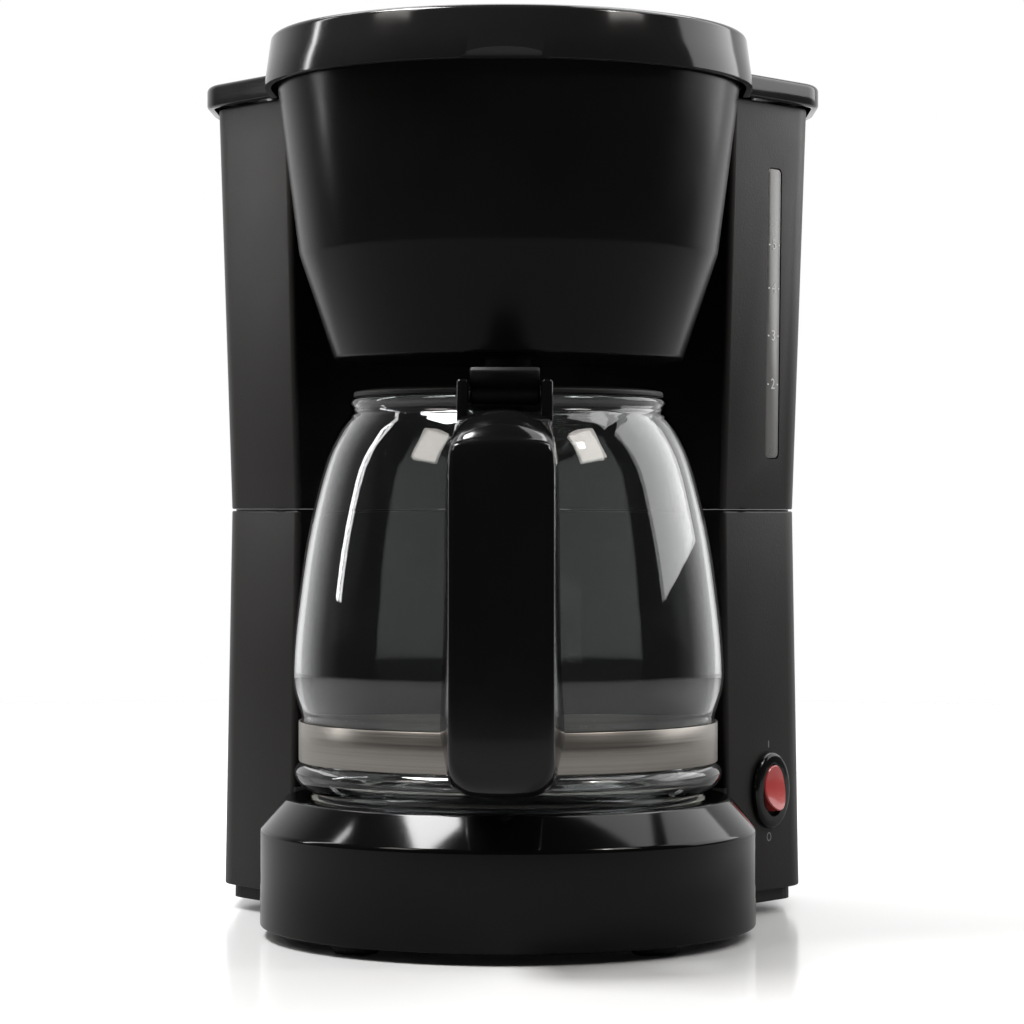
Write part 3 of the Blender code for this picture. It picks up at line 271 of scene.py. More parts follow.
def rounded(corners):
    """Outline through (x, y, radius, steps) corners, counter-clockwise. Sharp where the radius is 0."""
    points = []
    for index, (x, y, radius, steps) in enumerate(corners):
        here = Vector((x, y))
        if not radius:
            points.append(here)
            continue
        before = (Vector(corners[index - 1][:2]) - here).normalized()
        after = (Vector(corners[(index + 1) % len(corners)][:2]) - here).normalized()
        half = before.angle(after) / 2
        middle = here + (before + after).normalized() * radius / math.sin(half)
        start = here + before * radius / math.tan(half)
        end = here + after * radius / math.tan(half)
        turn = math.pi - 2 * half
        for step in range(steps + 1):
            part = step / steps
            first = math.sin((1 - part) * turn) / math.sin(turn)
            second = math.sin(part * turn) / math.sin(turn)
            points.append(middle + (start - middle) * first + (end - middle) * second)
    return points


def grown(points, distance):
    """The closed counter-clockwise outline moved outward by distance."""
    moved = []
    for index, here in enumerate(points):
        first = (here - points[index - 1]).normalized()
        second = (points[(index + 1) % len(points)] - here).normalized()
        first = Vector((first.y, -first.x))
        second = Vector((second.y, -second.x))
        moved.append(here + (first + second) * distance / (1 + first.dot(second)))
    return moved


def column_outline(offset=0.0, open_front=True):
    """Column seen from above, moved outward by offset; its open front follows a circle about the carafe."""
    half = [(*TIP, 1.5, 5), (*SHOULDER, 14, 12), (SHOULDER[0], BACK, 34, 22)]
    corners = half + [(-x, y, radius, steps) for x, y, radius, steps in reversed(half)]
    if open_front:
        reach = math.hypot(*TIP)
        first = math.atan2(TIP[1], -TIP[0])
        last = math.atan2(TIP[1], TIP[0])
        for step in range(1, 48):
            angle = first + (last - first) * step / 48
            corners.append((reach * math.cos(angle), reach * math.sin(angle), 0, 0))
    places = grown([Vector(corner[:2]) for corner in corners], offset)
    made = []
    for place, (_, _, radius, steps) in zip(places, corners):
        made.append((*place, max(radius + offset, 0.5) if radius else 0, steps))
    return rounded(made)


def lid_outline(radius, back, corner=8.0):
    """Lid seen from above: half a circle in front, straight sides and a back with round corners."""
    sides = [(radius, back, corner, 8), (-radius, back, corner, 8), (-radius, 0, 0, 0), (radius, 0, 0, 0)]
    points = rounded(sides)[:-2]
    for step in range(97):
        angle = math.pi + math.pi * step / 96
        points.append(Vector((radius * math.cos(angle), radius * math.sin(angle))))
    return points


def bar_outline(width, height, corner, steps=5):
    """A rectangle with round corners about the origin."""
    signs = ((1, 1), (-1, 1), (-1, -1), (1, -1))
    return rounded([(x * width / 2, y * height / 2, corner, steps) for x, y in signs])


def oval_outline(width, height, steps=64):
    """An ellipse about the origin."""
    turns = [2 * math.pi * step / steps for step in range(steps)]
    return [Vector((width / 2 * math.cos(turn), height / 2 * math.sin(turn))) for turn in turns]


def stack(bm, rings, caps=True, closed=False):
    """Skins rings of 3-D points that all have the same number of points."""
    loops = [[bm.verts.new(Vector(point) * MM) for point in ring] for ring in rings]
    pairs = list(zip(loops, loops[1:]))
    if closed:
        pairs.append((loops[-1], loops[0]))
    for first, second in pairs:
        for index in range(len(first)):
            bm.faces.new((first[index - 1], first[index], second[index], second[index - 1]))
    if caps and not closed:
        bm.faces.new(loops[0])
        bm.faces.new(loops[-1])


def level(outline, z, scale=1.0):
    """An outline laid flat at height z."""
    return [(point[0] * scale, point[1] * scale, z) for point in outline]


def fillet(profile, steps=4):
    """Profile points (r, z, radius) with each corner rounded, as plain (r, z) points."""
    points = []
    last = len(profile) - 1
    for index, (x, z, radius) in enumerate(profile):
        if not radius or index in (0, last):
            points.append((x, z))
            continue
        here = Vector((x, z))
        before = Vector(profile[index - 1][:2]) - here
        after = Vector(profile[index + 1][:2]) - here
        angle = before.angle(after)
        reach = min(radius / math.tan(angle / 2), before.length * 0.49, after.length * 0.49)
        start = here + before.normalized() * reach
        end = here + after.normalized() * reach
        for step in range(steps + 1):
            t = step / steps
            spot = start * (1 - t) ** 2 + here * 2 * t * (1 - t) + end * t**2
            points.append((spot.x, spot.y))
    return points


def lathe(bm, profile, segments=160, start=0.0, sweep=2 * math.pi, caps=False):
    """Turns (r, z) points about the axis; the profile closes on itself unless it starts on the axis."""
    full = abs(sweep - 2 * math.pi) < 1e-6
    count = segments if full else segments + 1
    loops = []
    for step in range(count):
        angle = start + sweep * step / segments
        ring = [(r * math.cos(angle), r * math.sin(angle), z) for r, z in profile]
        loops.append([bm.verts.new(Vector(point) * MM) for point in ring])
    on_axis = profile[0][0] == 0
    pairs = list(zip(loops, loops[1:]))
    if full:
        pairs.append((loops[-1], loops[0]))
    for first, second in pairs:
        for index in range(int(on_axis), len(profile)):
            bm.faces.new((first[index - 1], second[index - 1], second[index], first[index]))
    if caps and not full:
        bm.faces.new(loops[0])
        bm.faces.new(loops[-1])


def block(bm, low, high, bevel=0.0, segments=3):
    """A box between two corners with eased edges."""
    made = bmesh.ops.create_cube(bm, size=1.0)["verts"]
    size = [(b - a) * MM for a, b in zip(low, high)]
    centre = [(a + b) / 2 * MM for a, b in zip(low, high)]
    bmesh.ops.scale(bm, vec=size, verts=made)
    bmesh.ops.translate(bm, vec=centre, verts=made)
    if bevel:
        edges = list({edge for vert in made for edge in vert.link_edges})
        bmesh.ops.bevel(bm, geom=edges, offset=bevel * MM, segments=segments, profile=0.5, affect="EDGES")


def rod(bm, centre, axis, length, radius, segments=32, bevel=0.0):
    """A round bar along X, Y or Z with eased ends."""
    half, ease = length / 2, bevel or 0.01
    profile = [(-half, 0.001), (-half, radius - ease), (-half + ease, radius), (half - ease, radius)]
    profile += [(half, radius - ease), (half, 0.001)]
    rings = []
    for along, r in profile:
        ring = []
        for step in range(segments):
            turn = 2 * math.pi * step / segments
            a, b = r * math.cos(turn), r * math.sin(turn)
            spot = {"X": (along, a, b), "Y": (a, along, b), "Z": (a, b, along)}[axis]
            ring.append([c + d for c, d in zip(centre, spot)])
        rings.append(ring)
    stack(bm, rings)


def route(points, per_span=4):
    """Points along a smooth curve through the given ones (Catmull-Rom)."""
    knots = [Vector(point) for point in points]
    knots = [2 * knots[0] - knots[1]] + knots + [2 * knots[-1] - knots[-2]]
    track = []
    for a, b, c, d in zip(knots, knots[1:], knots[2:], knots[3:]):
        for step in range(per_span):
            t = step / per_span
            bend = 2 * a - 5 * b + 4 * c - d
            twist = 3 * b - a - 3 * c + d
            track.append((2 * b + (c - a) * t + bend * t * t + twist * t**3) / 2)
    return track + [knots[-2]]


def linked(name, data):
    """A new object in the scene."""
    obj = bpy.data.objects.new(name, data)
    bpy.context.scene.collection.objects.link(obj)
    return obj


def mesh_object(name, bm):
    """A new mesh object made from bm, which is used up."""
    mesh = bpy.data.meshes.new(name)
    bm.to_mesh(mesh)
    bm.free()
    return linked(name, mesh)


def temporary(bm):
    """An object for a Boolean, which carved() removes again."""
    bmesh.ops.recalc_face_normals(bm, faces=bm.faces)
    return mesh_object("cutter", bm)


def carved(bm, *steps):
    """The mesh in bm after Booleans, as a new bmesh. A step is (operation, bmesh)."""
    base = temporary(bm)
    helpers = []
    for operation, other in steps:
        helper = temporary(other)
        helpers.append(helper)
        change = base.modifiers.new("carve", "BOOLEAN")
        change.operation = operation
        change.solver = "EXACT"
        change.object = helper
    bpy.context.view_layer.update()
    graph = bpy.context.evaluated_depsgraph_get()
    result = bmesh.new()
    result.from_mesh(base.evaluated_get(graph).to_mesh())
    for obj in [base, *helpers]:
        bpy.data.objects.remove(obj, do_unlink=True)
    return result


def piece(name, bm, material, body, nodes=(), angle=40, at=None, turn=None, normals=True):
    """Finishes a mesh as a piece of the coffee maker that rides on a body."""
    if normals:
        bmesh.ops.recalc_face_normals(bm, faces=bm.faces)
    obj = mesh_object(name, bm)
    obj.data.shade_smooth()
    obj.data.set_sharp_from_angle(angle=math.radians(angle))
    obj.data.materials.append(material)
    obj.location = at or (AXIS[0], AXIS[1], 0)
    if turn:
        obj.rotation_euler = turn.to_euler()
    bpy.context.view_layer.update()
    if nodes:
        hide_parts(*nodes)
    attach(obj, body)


# ---------------------------------------------------------------- housings


def wall_levels(low, high, ease, wall):
    """(z, inset) round a wall's section: up the outside, over the eased rim, down the inside."""
    steps = 4
    foot, rim = [], []
    for step in range(steps + 1):
        turn = math.pi / 2 * step / steps
        drop, inset = ease * (1 - math.sin(turn)), ease * (1 - math.cos(turn))
        foot.append((low + drop, inset))
        rim.append((high - drop, inset))
    return foot[::-1] + rim + [(high, wall), (low, wall)]


def base_shell():
    """Lower column and its top, with eased edges and a tongue into the joint line."""
    bm = bmesh.new()
    path = wall_levels(COLUMN_FOOT, SEAM_LOW, 0.5, WALL)
    tongue = [(SEAM_LOW, 1.3), (SEAM_LOW + 0.55, 1.3), (SEAM_LOW + 0.55, WALL)]
    rings = []
    for z, inset in path[:-2] + tongue + path[-1:]:
        rings.append(level(column_outline(-inset), z, lower_scale(z)))
    stack(bm, rings, closed=True)
    rings = []
    for z in (12.0, PLATE_TOP - 0.3):
        rings.append(level(column_outline(-0.6, False), z, lower_scale(z)))
    stack(bm, rings)
    piece("base_shell", bm, SATIN, "machine", ["base_housing"])


def drum_shell():
    """Drum under the carafe, with its glossy bevelled ring."""
    bm = bmesh.new()
    profile = [
        (58.5, 37.3, 0),
        (58.5, PLATE_TOP, 0.5),
        (65.5, PLATE_TOP, 1.6),
        (73.0, 31.2, 2.2),
        (73.0, 3.0, 0.7),
        (70.6, 3.0, 0.3),
        (70.6, 30.0, 0),
        (66.0, 35.3, 0),
        (54.0, 35.3, 0),
        (54.0, 37.3, 0),
    ]
    lathe(bm, fillet(profile, 6), 192)
    piece("drum_shell", bm, DRUM, "machine")


def face_turn(spot, height, scale):
    """Place on the column's right face and its turn: X back along the face, Y inward, Z up."""
    tip = Vector((*TIP, 0))
    along = Vector((*SHOULDER, 0)) - tip
    across = along.normalized()
    inward = Vector((-across.y, across.x, 0))
    reach = -tip.dot(inward)
    lean = reach * (scale(height + 1) - scale(height))
    up = (Vector((0, 0, 1)) - inward * lean).normalized()
    inward = up.cross(across)
    place = (tip + along * spot) * scale(height)
    place = Vector((AXIS[0] + place.x * MM, AXIS[1] + place.y * MM, height * MM))
    return place, Matrix((across, inward, up)).transposed()


WINDOW_LOW, WINDOW_HIGH = 140.6, 230.6
WINDOW_AT = face_turn(0.63, (WINDOW_LOW + WINDOW_HIGH) / 2, upper_scale)
SWITCH_AT = face_turn(0.59, 38.3, lower_scale)


def upright(outline, y, inset=0.0):
    """An outline in the face's X and Z, at depth y into the body."""
    points = grown(outline, -inset) if inset else outline
    return [(point[0], y, point[1]) for point in points]


def tank_shell():
    """Upper column: outside, eased rim, inside and floor, with the slot for the gauge."""
    bm = bmesh.new()
    path = [(SEAM_HIGH, 12.0)] + wall_levels(SEAM_HIGH, TANK_TOP, 0.5, WALL)[:-1]
    path += [(TANK_FLOOR + 1.5, WALL), (TANK_FLOOR, WALL + 1.5)]
    rings = [level(column_outline(-inset), z, upper_scale(z)) for z, inset in path]
    stack(bm, rings)
    slot = bmesh.new()
    outline = bar_outline(7.4, WINDOW_HIGH - WINDOW_LOW, 1.8)
    stack(slot, [upright(outline, 6), upright(outline, -6)])
    place, turn = WINDOW_AT
    home = Matrix.Translation(place - Vector((AXIS[0], AXIS[1], 0))) @ turn.to_4x4()
    bmesh.ops.transform(slot, matrix=home, verts=slot.verts)
    bm = carved(bm, ("DIFFERENCE", slot))
    piece("tank_shell", bm, SATIN, "machine", ["reservoir_housing"], angle=32)


def gauge_mark(digit, z):
    """A number at height z from the gauge's middle, with a tick on each side."""
    curve = bpy.data.curves.new("digit", "FONT")
    curve.body = digit
    curve.size = 4.6 * MM
    curve.extrude = 0.03 * MM
    curve.align_x = "CENTER"
    curve.align_y = "CENTER"
    source = linked("digit", curve)
    bpy.context.view_layer.update()
    graph = bpy.context.evaluated_depsgraph_get()
    bm = bmesh.new()
    bm.from_mesh(source.evaluated_get(graph).to_mesh())
    bpy.data.objects.remove(source, do_unlink=True)
    stand = Matrix(((1, 0, 0, 0), (0, 0, -1, 0), (0, 1, 0, z * MM), (0, 0, 0, 1)))
    bmesh.ops.transform(bm, matrix=stand, verts=bm.verts)
    tick = bar_outline(0.8, 0.5, 0.2)
    for middle in (-2.5, 2.5):
        stack(bm, [[(x + middle, y, up + z) for x, up in tick] for y in (0.06, 0.0)])
    place, turn = WINDOW_AT
    piece(f"gauge_mark_{digit}", bm, MARK, "machine", at=place, turn=turn, normals=False)


def gauge():
    """Translucent strip in the slot, with a number and two ticks for each level."""
    height = WINDOW_HIGH - WINDOW_LOW
    place, turn = WINDOW_AT
    bm = bmesh.new()
    outline = bar_outline(6.8, height - 0.6, 1.6)
    stack(bm, [upright(outline, 3.2), upright(outline, 0.3), upright(outline, 0.05, 0.3)])
    flange = bar_outline(9.4, height + 2.6, 2.4)
    stack(bm, [upright(flange, 4.0), upright(flange, 2.8)])
    piece("gauge_strip", bm, WINDOW, "machine", ["water_window"], at=place, turn=turn)
    for digit, z in (("5", 206.8), ("4", 193.4), ("3", 178.7), ("2", 163.7)):
        gauge_mark(digit, z - (WINDOW_LOW + WINDOW_HIGH) / 2)


def deck_shell():
    """Rim round the lid, with eased edges, low hinge ears and the shallow pockets under the knuckles."""
    rings = []
    for z, inset in ((DECK_LOW, 0.8), (DECK_LOW + 0.25, 0.25), (DECK_LOW + 0.8, 0.0)):
        rings.append(level(column_outline(DECK_OVERHANG - inset, False), z))
    for step in range(7):
        turn = math.pi / 2 * step / 6
        inset, z = DECK_EASE * (1 - math.cos(turn)), DECK_TOP - DECK_EASE * (1 - math.sin(turn))
        rings.append(level(column_outline(DECK_OVERHANG - inset, False), z))
    bm = bmesh.new()
    stack(bm, rings)
    opening = bmesh.new()
    hole = lid_outline(72.8, 112.8)
    stack(opening, [level(hole, DECK_LOW - 2), level(hole, DECK_TOP + 2)])
    hollow = bmesh.new()
    inner = column_outline(DECK_OVERHANG - 2.2, False)
    stack(hollow, [level(inner, DECK_LOW - 1), level(inner, DECK_TOP - 2.2)])
    steps = [("DIFFERENCE", opening), ("DIFFERENCE", hollow)]
    y, z = HINGE
    for x in (-KNUCKLE_X, KNUCKLE_X):
        pocket = bmesh.new()
        block(pocket, (x - 7.6, y - 5, z - 3.4), (x + 7.6, y + 3.6, z + 3), bevel=0.4, segments=2)
        steps.append(("DIFFERENCE", pocket))
    bm = carved(bm, *steps)
    rim = lid_outline(75.0, 115.0)
    wall_front, wall_top = 36.0, DECK_TOP - 2.1
    for first, second in zip(rim, rim[1:] + rim[:1]):
        if max(first.y, second.y) < wall_front:
            continue
        wall = []
        for point, height in ((first, DECK_LOW), (second, DECK_LOW), (second, wall_top), (first, wall_top)):
            wall.append(bm.verts.new(Vector((point.x, max(point.y, wall_front), height)) * MM))
        bm.faces.new(wall)
    # The ears stop short of the lid's pins. The frame's own go on to the hinge's Z + 2.4.
    ear_top = DECK_TOP + 0.3
    for side in (-1, 1):
        for x in (KNUCKLE_X - EAR_REACH, KNUCKLE_X + EAR_REACH):
            low_x, high_x = sorted((side * (x - 1.6), side * (x + 1.6)))
            block(bm, (low_x, y - 3.2, DECK_TOP - 1.5), (high_x, y + 3.4, ear_top), bevel=0.9)
    piece("deck_shell", bm, LID, "machine", ["top_deck"], angle=35, normals=False)


def head_shell():
    """Funnel-shaped brew head with softened bends, and the web to the tank behind it."""
    bm = bmesh.new()
    profile = [
        (66.4, 250.4, 0),
        (68.2, 250.4, 0.6),
        (61.6, 199.7, 9.0),
        (51.2, 168.8, 1.6),
        (9.0, 168.8, 0.3),
        (9.0, 171.0, 0.3),
        (48.9, 171.0, 2.0),
        (59.2, 199.7, 9.0),
        (65.9, 249.8, 0),
    ]
    lathe(bm, fillet(profile, 8), 192)
    web = [(66.2, 244), (74.0, 244), (74.0, 248), (66.2, 248)]
    lathe(bm, web, 80, math.radians(30), math.radians(120), caps=True)
    piece("head_shell", bm, HEAD, "machine", ["brew_head"], angle=35)


def plate():
    """Warming plate with its raised edge and the stud below it."""
    bm = bmesh.new()
    profile = [(0, 40.2, 0), (50.0, 40.2, 0.5), (51.2, PLATE_TOP, 0.5), (55.0, PLATE_TOP, 0.8)]
    profile += [(56.0, 39.4, 0.4), (56.0, 39.0, 0), (2.2, 39.0, 0), (2.2, 24.0, 0), (0, 24.0, 0)]
    lathe(bm, fillet(profile), 160)
    piece("plate_disc", bm, COATING, "machine", ["warming_plate"])


# ---------------------------------------------------------------- lid


def lid_shell():
    """Cover with a drafted skirt, a softly crowned edge and the finger scoop at the front."""
    height = LID_TOP - LID_LOW
    path = [(LID_TOP - 2.5, 5.0), (LID_TOP - 2.9, 2.6), (LID_TOP - 4.0, 2.2), (LID_LOW, 2.0)]
    path += [(LID_LOW, 0.5), (LID_LOW + 0.15, 0.15), (LID_LOW + 0.5, 0.0), (LID_LOW + height * 0.5, 0.0)]
    crown = 1.5
    for step in range(9):
        turn = math.pi / 2 * step / 8
        path.append((LID_TOP - crown * (1 - math.sin(turn)), crown * (1 - math.cos(turn))))

    def drawn(z, inset):
        rise = (z - LID_LOW) / height
        outline = lid_outline(LID_RADIUS - inset, LID_BACK - inset, max(8.0 - inset, 2.0))
        narrow, short = 1 - 0.028 * rise, 1 - 0.011 * rise
        return [(x * narrow, LID_BACK + (y - LID_BACK) * short, z) for x, y in outline]

    bm = bmesh.new()
    stack(bm, [drawn(z, inset) for z, inset in path])
    step_cut = bmesh.new()
    block(step_cut, (-90, 18, LID_LOW - 1), (90, 130, LID_LOW + 3.4))
    scoop = bmesh.new()
    bmesh.ops.create_uvsphere(scoop, u_segments=64, v_segments=32, radius=1.0)
    bmesh.ops.scale(scoop, vec=Vector((27, 3.6, 4.6)) * MM, verts=scoop.verts)
    bmesh.ops.translate(scoop, vec=Vector((0, -73.9, LID_LOW - 0.25)) * MM, verts=scoop.verts)
    bm = carved(bm, ("DIFFERENCE", step_cut), ("DIFFERENCE", scoop))
    y, z = HINGE
    for x in (-KNUCKLE_X, KNUCKLE_X):
        block(bm, (x - 7, 106.5, z + 0.5), (x + 7, y, z + 2.9), bevel=0.5)
        rod(bm, (x, y, z), "X", 14, 3.0, 40, 0.5)
    piece("lid_shell", bm, LID, "lid", ["top_lid"], angle=32)


def basket_shell():
    """Filter basket with its nozzle and the ribs that lift the paper."""
    bm = bmesh.new()
    profile = [
        (62.4, 245.5, 0),
        (64.0, 245.5, 0.5),
        (57.6, 200.5, 6.0),
        (46.5, BASKET_FOOT, 2.0),
        (7.0, BASKET_FOOT, 0.8),
        (7.0, NOZZLE_END, 0.6),
        (3.2, NOZZLE_END, 0.4),
        (3.2, BASKET_FOOT + 1.8, 0.3),
        (44.7, BASKET_FOOT + 1.8, 2.0),
        (55.8, 200.5, 6.0),
        (62.2, 245.0, 0),
    ]
    lathe(bm, fillet(profile, 6), 160)
    for index in range(6):
        ribs = bmesh.new()
        block(ribs, (24, -0.8, 172), (43, 0.8, 175), bevel=0.3, segments=2)
        turn = Matrix.Rotation(math.pi / 3 * index, 3, "Z")
        bmesh.ops.rotate(ribs, cent=(0, 0, 0), matrix=turn, verts=ribs.verts)
        mesh = bpy.data.meshes.new("rib")
        ribs.to_mesh(mesh)
        ribs.free()
        bm.from_mesh(mesh)
        bpy.data.meshes.remove(mesh)
    piece("basket_shell", bm, INNER, "basket", ["brew_basket"], angle=35)


# ---------------------------------------------------------------- carafe


def smoothed(points, per_span):
    """Plain (r, z) points along a smooth curve through the given ones."""
    return [tuple(point) for point in route(points, per_span)]


def glass_profile():
    """Section of the glass: up the inside, over the rim, down the outside and under the heel."""
    outside = [(47.3, 152.3), (50.4, 147.4), (54.5, 137), (59.2, 116.3), (62.2, 94.7)]
    outside += [(63.4, 80.5), (63.2, 73), (61.5, 66.6)]
    rim = [(44.9, 156.6), (45.4, 157.35), (46.3, 157.5), (47.0, 156.9), (47.2, 155.8)]
    rim += [(46.4, 154.4), (46.4, 153.2)]
    groove = [(60.8, 64.4), (60.8, 63.2), (60.8, 50.9), (61.2, 50.6)]
    heel = [(62.3, 49.6), (62.9, 48.1), (62.6, 46.4), (61.6, 44.6), (59.8, 43.0), (57.4, 41.6), (54.5, 40.8)]
    foot = [(53.0, 40.8), (51.5, 41.3), (48.0, 41.7), (30, 42.2), (0, 42.4)]
    floor_inside = [(0, 44.6), (30, 44.4)]
    inside = [(50, 44.2), (56.6, 45.4), (59.6, 48.0), (58.9, 51.0), (58.7, 63.2), (59.4, 66.6)]
    inside += [(61.0, 73.2), (61.2, 80.5), (60.0, 94.6), (57.0, 116.1), (52.4, 136.5), (48.4, 146.6)]
    inside += [(45.3, 151.6), (44.4, 153.4)]
    up = floor_inside + smoothed(inside, 3) + rim
    return up + smoothed(outside, 5) + groove + smoothed(heel, 3) + foot


def glass_jug():
    """Turned glass with the rim drawn out at the back into a small pouring lip."""
    bm = bmesh.new()
    lathe(bm, glass_profile(), 192)
    lip_low, lip_rise, lip_reach, lip_spread = 146, 11.5, 4.2, 0.22
    for vert in bm.verts:
        x, y, z = (mm(value) for value in vert.co)
        if z > lip_low and y > 20:
            aside = math.exp(-((math.atan2(x, y) / lip_spread) ** 2))
            vert.co.y += lip_reach * MM * aside * ((z - lip_low) / lip_rise) ** 1.6
    bmesh.ops.remove_doubles(bm, verts=bm.verts, dist=1e-7)
    piece("glass_jug", bm, GLASS, "carafe", ["carafe_glass"], angle=60)


def steel_band():
    """Thin band round the groove, with the pad that the handle is screwed to."""
    bm = bmesh.new()
    profile = [(61.1, 51.3), (61.6, 51.2), (61.7, 51.35), (61.7, 62.65), (61.6, 62.8), (61.1, 62.7)]
    lathe(bm, profile, 224)
    block(bm, (-7, -69, 53), (7, -61.4, 58), bevel=0.5)
    piece("steel_band", bm, STEEL, "carafe", ["carafe_band"])


# Stations of the handle: outer and inner point (y, z), half width outside and inside, corner radius of
# the outer face, and how far that face is crowned.
GRIP = [
    (-46, 150.0, -49, 139.8, 13.6, 14.2, 3.0, 0.3),
    (-62, 151.6, -62, 139.6, 13.4, 14.4, 3.2, 1.2),
    (-78, 152.0, -76, 138.8, 12.9, 14.8, 3.6, 3.0),
    (-90, 151.6, -84, 136.2, 12.9, 15.2, 4.2, 4.6),
    (-98.5, 149.4, -88.4, 132.4, 13.2, 15.5, 4.6, 4.4),
    (-104, 144.6, -90.4, 127, 13.6, 15.6, 3.6, 2.4),
    (-106, 137, -91, 121, 13.9, 15.7, 1.6, 0.3),
    (-106, 96, -91, 94, 13.9, 16.3, 1.1, 0),
    (-106, 76, -90.6, 80, 13.9, 16.8, 1.1, 0),
    (-106, 63, -88.6, 72.4, 13.9, 17.2, 1.6, 0.05),
    (-105, 54.6, -84.4, 67.4, 13.8, 17.3, 4.6, 0.4),
    (-100.4, 49.2, -79, 64.8, 13.6, 17.2, 7.2, 1.2),
    (-92, 47.8, -73, 63.6, 13.4, 16.6, 6.8, 1.0),
    (-79, 48.2, -68, 63.0, 13.2, 15.4, 4.5, 0.3),
    (-68, 49.0, -64, 62.7, 13.0, 14.2, 3.0, 0),
    (-62.2, 49.5, -62.2, 62.6, 13.0, 13.8, 2.4, 0),
]


def jug_handle():
    """Handle lofted from smoothed stations, trimmed to the neck, with its two hinge lugs."""
    spans = [route([station[first : first + 2] for station in GRIP], 6) for first in (0, 2, 4, 6)]
    farthest = min(station[0] for station in GRIP)
    rings = []
    for outer, inner, widths, shape in zip(*spans):
        outer.x = max(outer.x, farthest)
        depth = (inner - outer).length
        wide, wider = widths
        front, crown = max(shape.x, 1.0), max(shape.y, 0.0)
        corners = [(wide, 0, front, 8), (wider, depth, 3.5, 6)]
        corners += [(-wider, depth, 3.5, 6), (-wide, 0, front, 8)]
        corners += [(-wide + (2 * part / 8) * wide, 0, 0, 0) for part in range(1, 8)]
        ring = []
        for x, t in rounded(corners):
            if abs(x) > wide - front and t == 0:
                x = math.copysign(wide - front, x)
            sag = crown * (x / wide) ** 2 * max(0.0, 1 - t / 8)
            ring.append((x, *outer.lerp(inner, (t + sag) / depth)))
        rings.append(ring)
    bm = bmesh.new()
    stack(bm, rings)
    clear = bmesh.new()
    profile = [(0, 158), (47.6, 158), (47.6, 154.6), (46.7, 153.4), (47.8, 152.3), (50.7, 147.5)]
    profile += [(54.8, 137.1), (57, 126), (57, 66), (62.0, 66), (62.0, 51.2), (63.4, 50.2)]
    profile += [(63.4, 45), (0, 45)]
    lathe(clear, profile, 128)
    bmesh.ops.remove_doubles(clear, verts=clear.verts, dist=1e-6)
    bm = carved(bm, ("DIFFERENCE", clear))
    y, z = JUG_HINGE
    for side in (-1, 1):
        low, high = sorted((side * 10.1, side * 13.4))
        block(bm, (low, y - 6.5, 147), (high, y + 4.5, z + 4.2), bevel=1.0, segments=4)
    piece("jug_handle", bm, GLOSS, "carafe", ["carafe_handle"], angle=38)


def jug_lid():
    """Lid with its vent, the skirt inside the neck, and the hinge with its thumb tab."""
    bm = bmesh.new()
    profile = [
        (3.5, 158.2, 0),
        (3.5, 161.0, 0.4),
        (8.0, 161.0, 0.6),
        (9.2, 159.9, 0.5),
        (42.6, 159.9, 0.8),
        (45.6, 159.4, 0.8),
        (45.6, 157.8, 0.3),
        (42.9, 157.8, 0.2),
        (42.9, 151.6, 0.4),
        (41.2, 151.6, 0.4),
        (41.2, 158.2, 0.3),
    ]
    lathe(bm, fillet(profile), 160)
    y, z = JUG_HINGE
    block(bm, (-9.7, y, z + 0.9), (9.7, -42, z + 3.0), bevel=0.5)
    rod(bm, (0, y, z), "X", 19.4, 3.0, 40, 0.5)
    side = [(y - 1, z + 1.2), (-57.4, 160.0), (-60.2, 162.8), (-60.0, 163.9), (-58.4, 164.15)]
    side += [(y + 2, z + 2.8), (y - 1, z + 1.2)]
    tab = route(side, 4)[:-1]
    centre = sum(tab, Vector((0, 0))) / len(tab)
    rings = []
    for x, inset in ((-9.7, 0.6), (-9.5, 0.25), (-9.0, 0), (9.0, 0), (9.5, 0.25), (9.7, 0.6)):
        rings.append([(x, *(centre + (point - centre) * (1 - inset / 5))) for point in tab])
    stack(bm, rings)
    piece("jug_lid", bm, INNER, "carafe_lid", ["carafe_lid"], angle=38)


# ---------------------------------------------------------------- switch


def switch_bezel():
    """Oval bezel with its body behind the face and the well for the rocker."""
    bm = bmesh.new()
    oval = oval_outline(18.5, 23.6)
    steps = ((-0.3, 0), (-1.1, 0), (-1.6, 0.25), (-1.95, 0.8), (-2.1, 1.6))
    stack(bm, [upright(oval, y, inset) for y, inset in steps])
    body = oval_outline(14.2, 19.0)
    stack(bm, [upright(body, 18, 0.6), upright(body, 17.4), upright(body, -1.0)])
    well = bmesh.new()
    outline = oval_outline(11.4, 16.2)
    stack(well, [upright(outline, 9.5), upright(outline, -4)])
    bm = carved(bm, ("DIFFERENCE", well))
    place, turn = SWITCH_AT
    piece("switch_bezel", bm, GLOSS, "machine", ["switch_body"], 35, place, turn)


